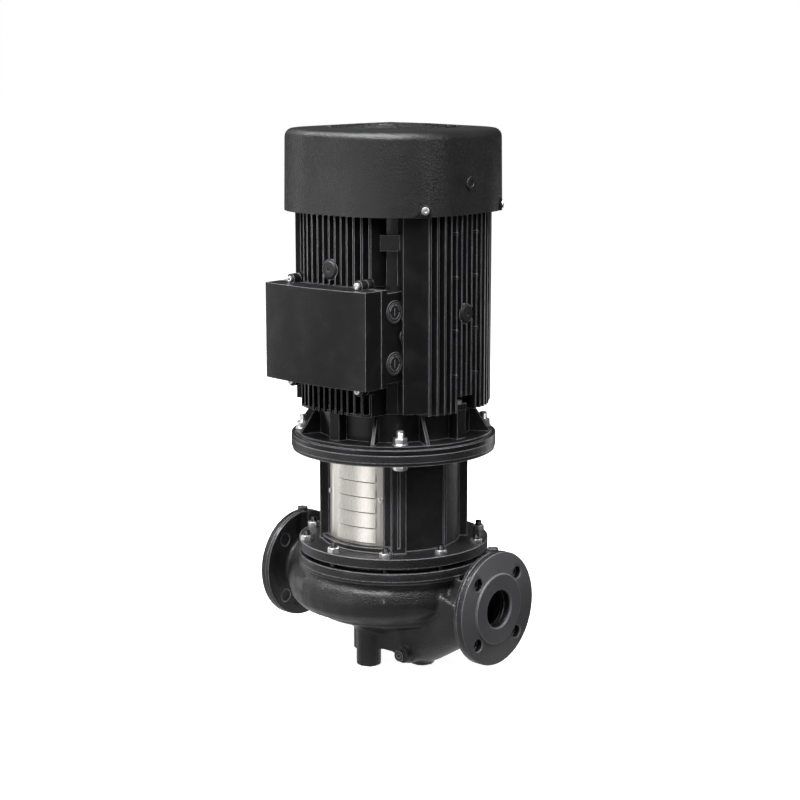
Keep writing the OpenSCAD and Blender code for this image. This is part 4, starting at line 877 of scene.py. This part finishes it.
class PUMP_OT_fasteners(bpy.types.Operator):
    """Model the nuts, bolts and studs of the casing joint and of the motor flange"""

    bl_idname = "pump.fasteners"
    bl_label = "Nuts and bolts"

    def execute(self, context):
        self.casing_joint()
        self.motor_joint()
        return {"FINISHED"}

    def casing_joint(self):
        """Ten studs with their nuts, each nut at its own turn."""
        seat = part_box("casing_nuts")[0][2]
        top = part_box("casing_nuts")[1][2]
        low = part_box("casing_studs")[0][2]
        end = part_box("casing_studs")[1][2]
        places = [
            (on_circle(STUD_CIRCLE, turn), (0.0, 0.0, 1.0), turn + math.radians(11 + 37 * (k % 4)))
            for k, turn in enumerate(STUD_TURNS)
        ]
        nut = hexagon("nut", across=16 * MM, height=top - seat, chamfer=0.6 * MM, hole_r=5.05 * MM)
        place(nut, (0.0, 0.0, seat))
        stand_for(copies(nut, "casing_nuts_finish", places), "casing_nuts")
        stud = threaded_rod("stud", 5 * MM, seat - 2 * MM, end, 1.5 * MM)
        shank = lathe("shank", [(4.95 * MM, low), (4.95 * MM, seat - 1.5 * MM)], sides=24)
        stand_for(copies(join(stud, shank), "casing_studs_finish", places), "casing_studs")

    def motor_joint(self):
        """Four bolts up through the motor flange, with their washers and nuts."""
        low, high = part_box("motor_bolts")
        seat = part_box("motor_nuts")[0][2]
        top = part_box("motor_nuts")[1][2]
        head_t, washer_t = 7.5 * MM, 2 * MM
        places = []
        for k in range(4):
            turn = math.radians(45 + 90 * k)
            spin = turn + math.radians(8 + 13 * k)
            places.append((on_circle(MOTOR_PCD / 2, turn), (0.0, 0.0, 1.0), spin))
        head = hexagon("head", across=18 * MM, height=head_t)
        place(head, (0.0, 0.0, low[2] + head_t), (0.0, 0.0, -1.0))
        shank = lathe("shank", [(6 * MM, low[2] + 7 * MM), (6 * MM, seat + 9 * MM)], sides=32)
        end = threaded_rod("end", 6 * MM, seat + 8 * MM, high[2], 1.75 * MM)
        stand_for(copies(join(head, shank, end), "motor_bolts_finish", places), "motor_bolts")
        height = top - seat - washer_t
        nut = hexagon("nut", across=18 * MM, height=height, chamfer=0.7 * MM, hole_r=6.05 * MM)
        place(nut, (0.0, 0.0, seat + washer_t))
        washer = lathe("washer", [
            (6.1 * MM, seat), (11.2 * MM, seat), (11.5 * MM, seat + 0.3 * MM),
            (11.5 * MM, seat + 1.7 * MM), (11.2 * MM, seat + washer_t), (6.1 * MM, seat + washer_t),
            (6.1 * MM, seat),
        ], sides=48, ring=True)
        smooth(washer)
        stand_for(copies(join(nut, washer), "motor_nuts_finish", places), "motor_nuts")


# Plugs of the cable entries and small screws


def blanking_plug(name, radius, arcs):
    """Moulded plug along +Z, seated at zero, with a rim groove and a raised mark."""
    rim, face = radius + PLUG_RIM, PLUG_T
    plug = lathe(name, [
        (radius - 0.1 * MM, -3.5 * MM), (radius - 0.1 * MM, 0.0), (rim, 0.0), (rim, face - 0.4 * MM),
        (rim - 0.4 * MM, face), (radius - 1 * MM, face), (radius - 1.2 * MM, face - 0.8 * MM),
        (radius - 2 * MM, face - 0.8 * MM), (radius - 2.2 * MM, face),
    ], sides=64)
    mark = lathe("mark", [
        (arcs - 1.4 * MM, face - 0.5 * MM), (arcs, face - 0.5 * MM), (arcs, face + 0.2 * MM),
        (arcs - 0.3 * MM, face + 0.5 * MM), (arcs - 1.1 * MM, face + 0.5 * MM),
        (arcs - 1.4 * MM, face + 0.2 * MM), (arcs - 1.4 * MM, face - 0.5 * MM),
    ], sides=64, ring=True)
    gap = arcs * 0.16
    far, deep = 20 * MM, 10 * MM
    cut(mark, block((-far, -gap, -deep), (far, gap, deep)), block((-gap, -far, -deep), (gap, far, deep)))
    bar = block((-0.8 * MM, -arcs * 0.5, face - 0.5 * MM), (0.8 * MM, arcs * 0.5, face + 0.5 * MM))
    bevel(bar, 0.2 * MM)
    smooth(plug)
    smooth(mark)
    return join(plug, mark, bar)


def socket_screw(name, radius, height, across, shank_r, low):
    """Screw along +Z, seated at zero, whose turned head has a hexagon socket."""
    edge = 0.35 * MM
    screw = lathe(name, [
        (shank_r, low), (shank_r, 0.0), (radius - 0.1 * MM, 0.0), (radius, 0.2 * MM),
        (radius, height - edge), (radius - edge * 0.3, height - edge * 0.3), (radius - edge, height),
    ], sides=40)
    bpy.ops.mesh.primitive_cylinder_add(
        vertices=6, radius=across / math.sqrt(3), depth=height * 1.3, location=(0, 0, height),
    )
    socket = bpy.context.active_object
    settle(socket)
    cut(screw, socket)
    bevel(screw, 0.15 * MM, 50.0, segments=1)
    smooth(screw, 35.0)
    return screw


class PUMP_OT_plugs(bpy.types.Operator):
    """Model the blanking plugs of the terminal box and the socket screws"""

    bl_idname = "pump.plugs"
    bl_label = "Plugs and screws"

    def execute(self, context):
        self.cable_plugs()
        self.lid_screws()
        self.cover_screws()
        self.guard_screws()
        return {"FINISHED"}

    def cable_plugs(self):
        """Blanking plugs of the four large cable entries and of the small one."""
        low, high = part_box("gland_plugs")
        radius = 15 * MM
        rim = radius + PLUG_RIM
        seat = high[0] - PLUG_T
        spots = []
        for side in (-1, 1):
            for z in (low[2] + rim, high[2] - rim):
                spots.append(((side * seat, low[1] + rim, z), (side, 0.0, 0.0)))
        plug = blanking_plug("gland", radius, 10.5 * MM)
        stand_for(copies(plug, "gland_plugs_finish", spots), "gland_plugs")
        low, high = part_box("small_gland_plug")
        middle = [(a + b) / 2 for a, b in zip(low, high)]
        small = blanking_plug("small_gland", 7 * MM, 4 * MM)
        place(small, (seat, middle[1], middle[2]), (1.0, 0.0, 0.0))
        small.name = "small_gland_plug_finish"
        stand_for(small, "small_gland_plug")

    def lid_screws(self):
        """Screws at the corners of the terminal box lid."""
        low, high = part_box("lid_screws")
        radius, height = 4.6 * MM, 4 * MM
        seat = low[1] + height
        corners = product((low[0] + radius, high[0] - radius), (low[2] + radius, high[2] - radius))
        spots = [((x, seat, z), (0.0, -1.0, 0.0), 0.3 * k) for k, (x, z) in enumerate(corners)]
        screw = socket_screw("lid_screw", radius, height, 4 * MM, 2.5 * MM, seat - high[1])
        stand_for(copies(screw, "lid_screws_finish", spots), "lid_screws")

    def cover_screws(self):
        """Screws that hold the fan cover to the columns of the frame."""
        radius, height = 5.5 * MM, 2.5 * MM
        spots = self.radial(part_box("fan_cover_screws"), 33, radius, height)
        screw = socket_screw("cover_screw", radius, height, 4 * MM, 2.5 * MM, -21 * MM)
        stand_for(copies(screw, "fan_cover_screws_finish", spots), "fan_cover_screws")

    def guard_screws(self):
        """Screws that hold the guards to the stool."""
        radius, height = 3.8 * MM, 2.2 * MM
        spots = self.radial(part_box("guard_screws"), 60, radius, height)
        screw = socket_screw("guard_screw", radius, height, 2.5 * MM, 2 * MM, -8.2 * MM)
        stand_for(copies(screw, "guard_screws_finish", spots), "guard_screws")

    def radial(self, box, heading, radius, height):
        """Places and axes of four screws that point straight out from the shaft axis."""
        low, high = box
        heading = math.radians(heading)
        reach = (high[0] - radius * math.sin(heading)) / math.cos(heading) - height
        middle = (low[2] + high[2]) / 2
        return [
            (on_circle(reach, turn, middle), on_circle(1.0, turn))
            for turn in (heading, math.pi - heading, math.pi + heading, -heading)
        ]


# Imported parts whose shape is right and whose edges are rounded


class PUMP_OT_edges(bpy.types.Operator):
    """Round the edges of the stool, shield, frame, boxes, guards and fan cover"""

    bl_idname = "pump.edges"
    bl_label = "Rounded parts"

    def execute(self, context):
        edges = context.scene.pump_edges
        for node, width, angle in (
            ("motor_stool", edges.cast_edge, 35.0),
            ("drive_end_shield", edges.cast_edge, 35.0),
            ("motor_frame", edges.sheet_edge, 35.0),
            ("terminal_box", edges.sheet_edge, 35.0),
            ("terminal_lid", edges.sheet_edge, 35.0),
            ("front_guard", 0.2 * MM, 40.0),
            ("rear_guard", 0.2 * MM, 40.0),
            ("frame_plugs", edges.sheet_edge, 35.0),
            ("fan_cover_cap", edges.sheet_edge, 35.0),
        ):
            piece = packed_copy(node, flat=1.0)
            if node == "motor_frame":
                cut(piece, self.frame_outline())
            elif node in ("front_guard", "rear_guard"):
                cut(piece, *self.louvre_slots(-90 if node == "front_guard" else 90))
            bevel(piece, width, angle)
            smooth(piece, angle)
            modify(piece, "WEIGHTED_NORMAL", keep_sharp=True)
            stand_for(piece, node)
        cover = packed_copy("fan_cover")
        smooth(cover, 40.0)
        modify(cover, "WEIGHTED_NORMAL", keep_sharp=True)
        stand_for(cover, "fan_cover")
        return {"FINISHED"}

    def frame_outline(self):
        """Ring that turns the fin tips and the columns to the round outline of the frame."""
        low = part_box("motor_frame")[0][2] - 5 * MM
        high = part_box("fan_cover")[0][2] - 1 * MM
        return hoop("outline", FRAME_R, 200 * MM, low, high, 96)

    def louvre_slots(self, heading):
        """Narrow slots under the lips of the louvres, and the fold beside their left ends."""
        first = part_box("front_guard")[0][2] + 4.5 * MM
        start, end, fold_at = heading - 13.5, heading + 25.0, heading - 16.0
        tools = []
        for k in range(LOUVRES):
            z = first + k * LOUVRE_PITCH
            slot = hoop("slot", 94.5 * MM, 101.5 * MM, z - 1.7 * MM, z - 0.2 * MM, 180)
            cut(slot, self.sector(start, end, z), operation="INTERSECT")
            tools.append(slot)
        fold = block((96.1 * MM, -0.5 * MM, first - 10 * MM), (100 * MM, 0.5 * MM, first + 130 * MM))
        tools.append(place(fold, (0.0, 0.0, 0.0), turn=math.radians(fold_at)))
        return tools

    def sector(self, start, end, z):
        """Wedge about the shaft axis between two headings, which reaches past the guards."""
        reach, half = 130 * MM, 10 * MM
        bpy.ops.mesh.primitive_circle_add(
            vertices=3, radius=half, fill_type="NGON", location=(0, 0, z - half)
        )
        piece = bpy.context.active_object
        corners = [(0.0, 0.0, 0.0), *(on_circle(reach, math.radians(turn)) for turn in (start, end))]
        for vertex, corner in zip(piece.data.vertices, corners):
            vertex.co = corner
        bpy.ops.object.mode_set(mode="EDIT")
        bpy.ops.mesh.select_all(action="SELECT")
        bpy.ops.mesh.extrude_region_move(TRANSFORM_OT_translate={"value": (0.0, 0.0, 2 * half)})
        bpy.ops.mesh.select_all(action="SELECT")
        bpy.ops.mesh.normals_make_consistent(inside=False)
        bpy.ops.object.mode_set(mode="OBJECT")
        settle(piece)
        return piece


# Camera, light and floor


def area_light(name, place, target, size, brightness):
    """Rectangular soft light that points at a target, as bright as the given times a white card."""
    bpy.ops.object.light_add(type="AREA", location=place)
    light = bpy.context.active_object
    light.name = name
    light.rotation_euler = (Vector(target) - Vector(place)).to_track_quat("-Z", "Y").to_euler()
    light.data.shape = "RECTANGLE"
    light.data.size, light.data.size_y = size
    light.data.energy = brightness * math.pi * size[0] * size[1]
    light.visible_camera = False


def white_glow(name, strength):
    """Material that gives even white light and reflects none."""
    paint = Paint(name, Roughness=1.0, Emission_Strength=strength)
    paint.colour((0.0, 0.0, 0.0))
    paint.feed(paint.shader.inputs["Emission Color"], (1.0, 1.0, 1.0))
    return paint.material


class PUMP_OT_stage(bpy.types.Operator):
    """Make the pale floor, the soft lights and the camera"""

    bl_idname = "pump.stage"
    bl_label = "Stage"

    def execute(self, context):
        scene = context.scene
        settings = scene.pump_stage
        self.floor()
        self.lights(scene, settings)
        self.camera(scene, settings)
        return {"FINISHED"}

    def floor(self):
        """White floor and sky that the camera sees and that the pump's gloss doesn't, and a low card."""
        bpy.ops.mesh.primitive_plane_add(size=60.0, location=(0, 0, 0))
        plane = bpy.context.active_object
        plane.name = "floor"
        pale = Paint("pale_floor", Roughness=0.9, Specular_IOR_Level=0.1, Emission_Strength=0.93)
        speck = pale.noise(3.0, 3.0)
        pale.colour(pale.mix(speck, (0.86, 0.86, 0.86), (0.9, 0.9, 0.9)))
        pale.feed(pale.shader.inputs["Emission Color"], (1.0, 1.0, 1.0))
        plane.data.materials.append(pale.material)
        bpy.ops.mesh.primitive_uv_sphere_add(segments=48, ring_count=24, radius=40.0)
        sky = bpy.context.active_object
        sky.name = "backdrop"
        sky.data.materials.append(white_glow("white_backdrop", 1.0))
        bpy.ops.mesh.primitive_plane_add(size=3.6, location=(-1.55, -1.65, -2 * MM))
        card = bpy.context.active_object
        card.name = "bounce_card"
        card.visible_camera = False
        card.data.materials.append(white_glow("bounce_card", 0.65))
        for piece in (plane, sky):
            piece.visible_diffuse = False
            piece.visible_glossy = False
            piece.visible_shadow = False

    def lights(self, scene, settings):
        """Even light all round, six soft lights that stand about the pump and two above it."""
        world = bpy.data.worlds.new("studio")
        world.use_nodes = True
        background = world.node_tree.nodes["Background"]
        background.inputs["Color"].default_value = (1.0, 1.0, 1.0, 1.0)
        background.inputs["Strength"].default_value = settings.room_light
        scene.world = world
        scene.view_settings.view_transform = "Standard"
        share = settings.lights
        middle = (0.0, 0.0, 0.35)
        for name, heading, reach, height, size, brightness in (
            ("front left", -97, 1.7, 0.5, (0.7, 1.0), 2.0),
            ("left", -165, 1.8, 0.6, (0.5, 1.2), 3.0),
            ("left strip", -131, 1.6, 0.64, (0.07, 0.2), 55.0),
            ("front strip", -55, 2.2, 0.61, (0.1, 0.24), 45.0),
            ("right", 9, 1.9, 1.6, (0.4, 1.6), 12.0),
            ("back right", 85, 1.9, 0.15, (0.7, 0.5), 2.5),
        ):
            spot = on_circle(reach, math.radians(heading), height)
            area_light(name, spot, (0.0, 0.0, min(height, 0.5)), size, brightness * share)
        area_light("above", (0.35, -0.95, 2.3), middle, (1.8, 1.8), 19.0 * share)
        area_light("above left", (-0.9, -0.7, 2.0), middle, (0.6, 0.6), 35.0 * share)

    def camera(self, scene, settings):
        """Camera turned to the shaft axis, which stands a little to one side of the picture's middle."""
        data = bpy.data.cameras.new("camera")
        data.lens = settings.lens
        data.sensor_width = 36.0
        camera = bpy.data.objects.new("camera", data)
        scene.collection.objects.link(camera)
        side = math.atan((PICTURE_PX / 2 - AXIS_PX) / PICTURE_PX * data.sensor_width / data.lens)
        heading = math.atan2(CAMERA_PLACE.x, -CAMERA_PLACE.y)
        camera.location = CAMERA_PLACE
        camera.rotation_euler = (math.pi / 2 - CAMERA_DOWN, 0.0, heading - side)
        scene.camera = camera


# Panel and start


OPERATORS = [
    PUMP_OT_finishes,
    PUMP_OT_housing,
    PUMP_OT_fasteners,
    PUMP_OT_plugs,
    PUMP_OT_edges,
    PUMP_OT_stage,
]


class PUMP_PT_panel(bpy.types.Panel):
    """Sizes, colours and steps of the pump"""

    bl_idname = "PUMP_PT_panel"
    bl_label = "Circulation Pump"
    bl_space_type = "VIEW_3D"
    bl_region_type = "UI"
    bl_category = "Pump"

    def draw(self, context):
        scene = context.scene
        for group in (scene.pump_paint, scene.pump_casting, scene.pump_edges, scene.pump_stage):
            box = self.layout.box()
            for name in group.__annotations__:
                box.prop(group, name)
        for step in OPERATORS:
            self.layout.operator(step.bl_idname)


GROUPS = {
    "pump_paint": PumpPaintSettings,
    "pump_casting": PumpCastingSettings,
    "pump_edges": PumpEdgeSettings,
    "pump_stage": PumpStageSettings,
}


def register():
    """Adds the sizes, the steps and the panel to Blender."""
    for name, group in GROUPS.items():
        bpy.utils.register_class(group)
        setattr(bpy.types.Scene, name, PointerProperty(type=group))
    for step in [*OPERATORS, PUMP_PT_panel]:
        bpy.utils.register_class(step)


def unregister():
    """Takes them out again."""
    for step in reversed([*OPERATORS, PUMP_PT_panel]):
        bpy.utils.unregister_class(step)
    for name, group in GROUPS.items():
        delattr(bpy.types.Scene, name)
        bpy.utils.unregister_class(group)


def main():
    """Builds the whole picture."""
    register()
    for step in OPERATORS:
        area, name = step.bl_idname.split(".")
        getattr(getattr(bpy.ops, area), name)()


if __name__ == "__main__":
    main()
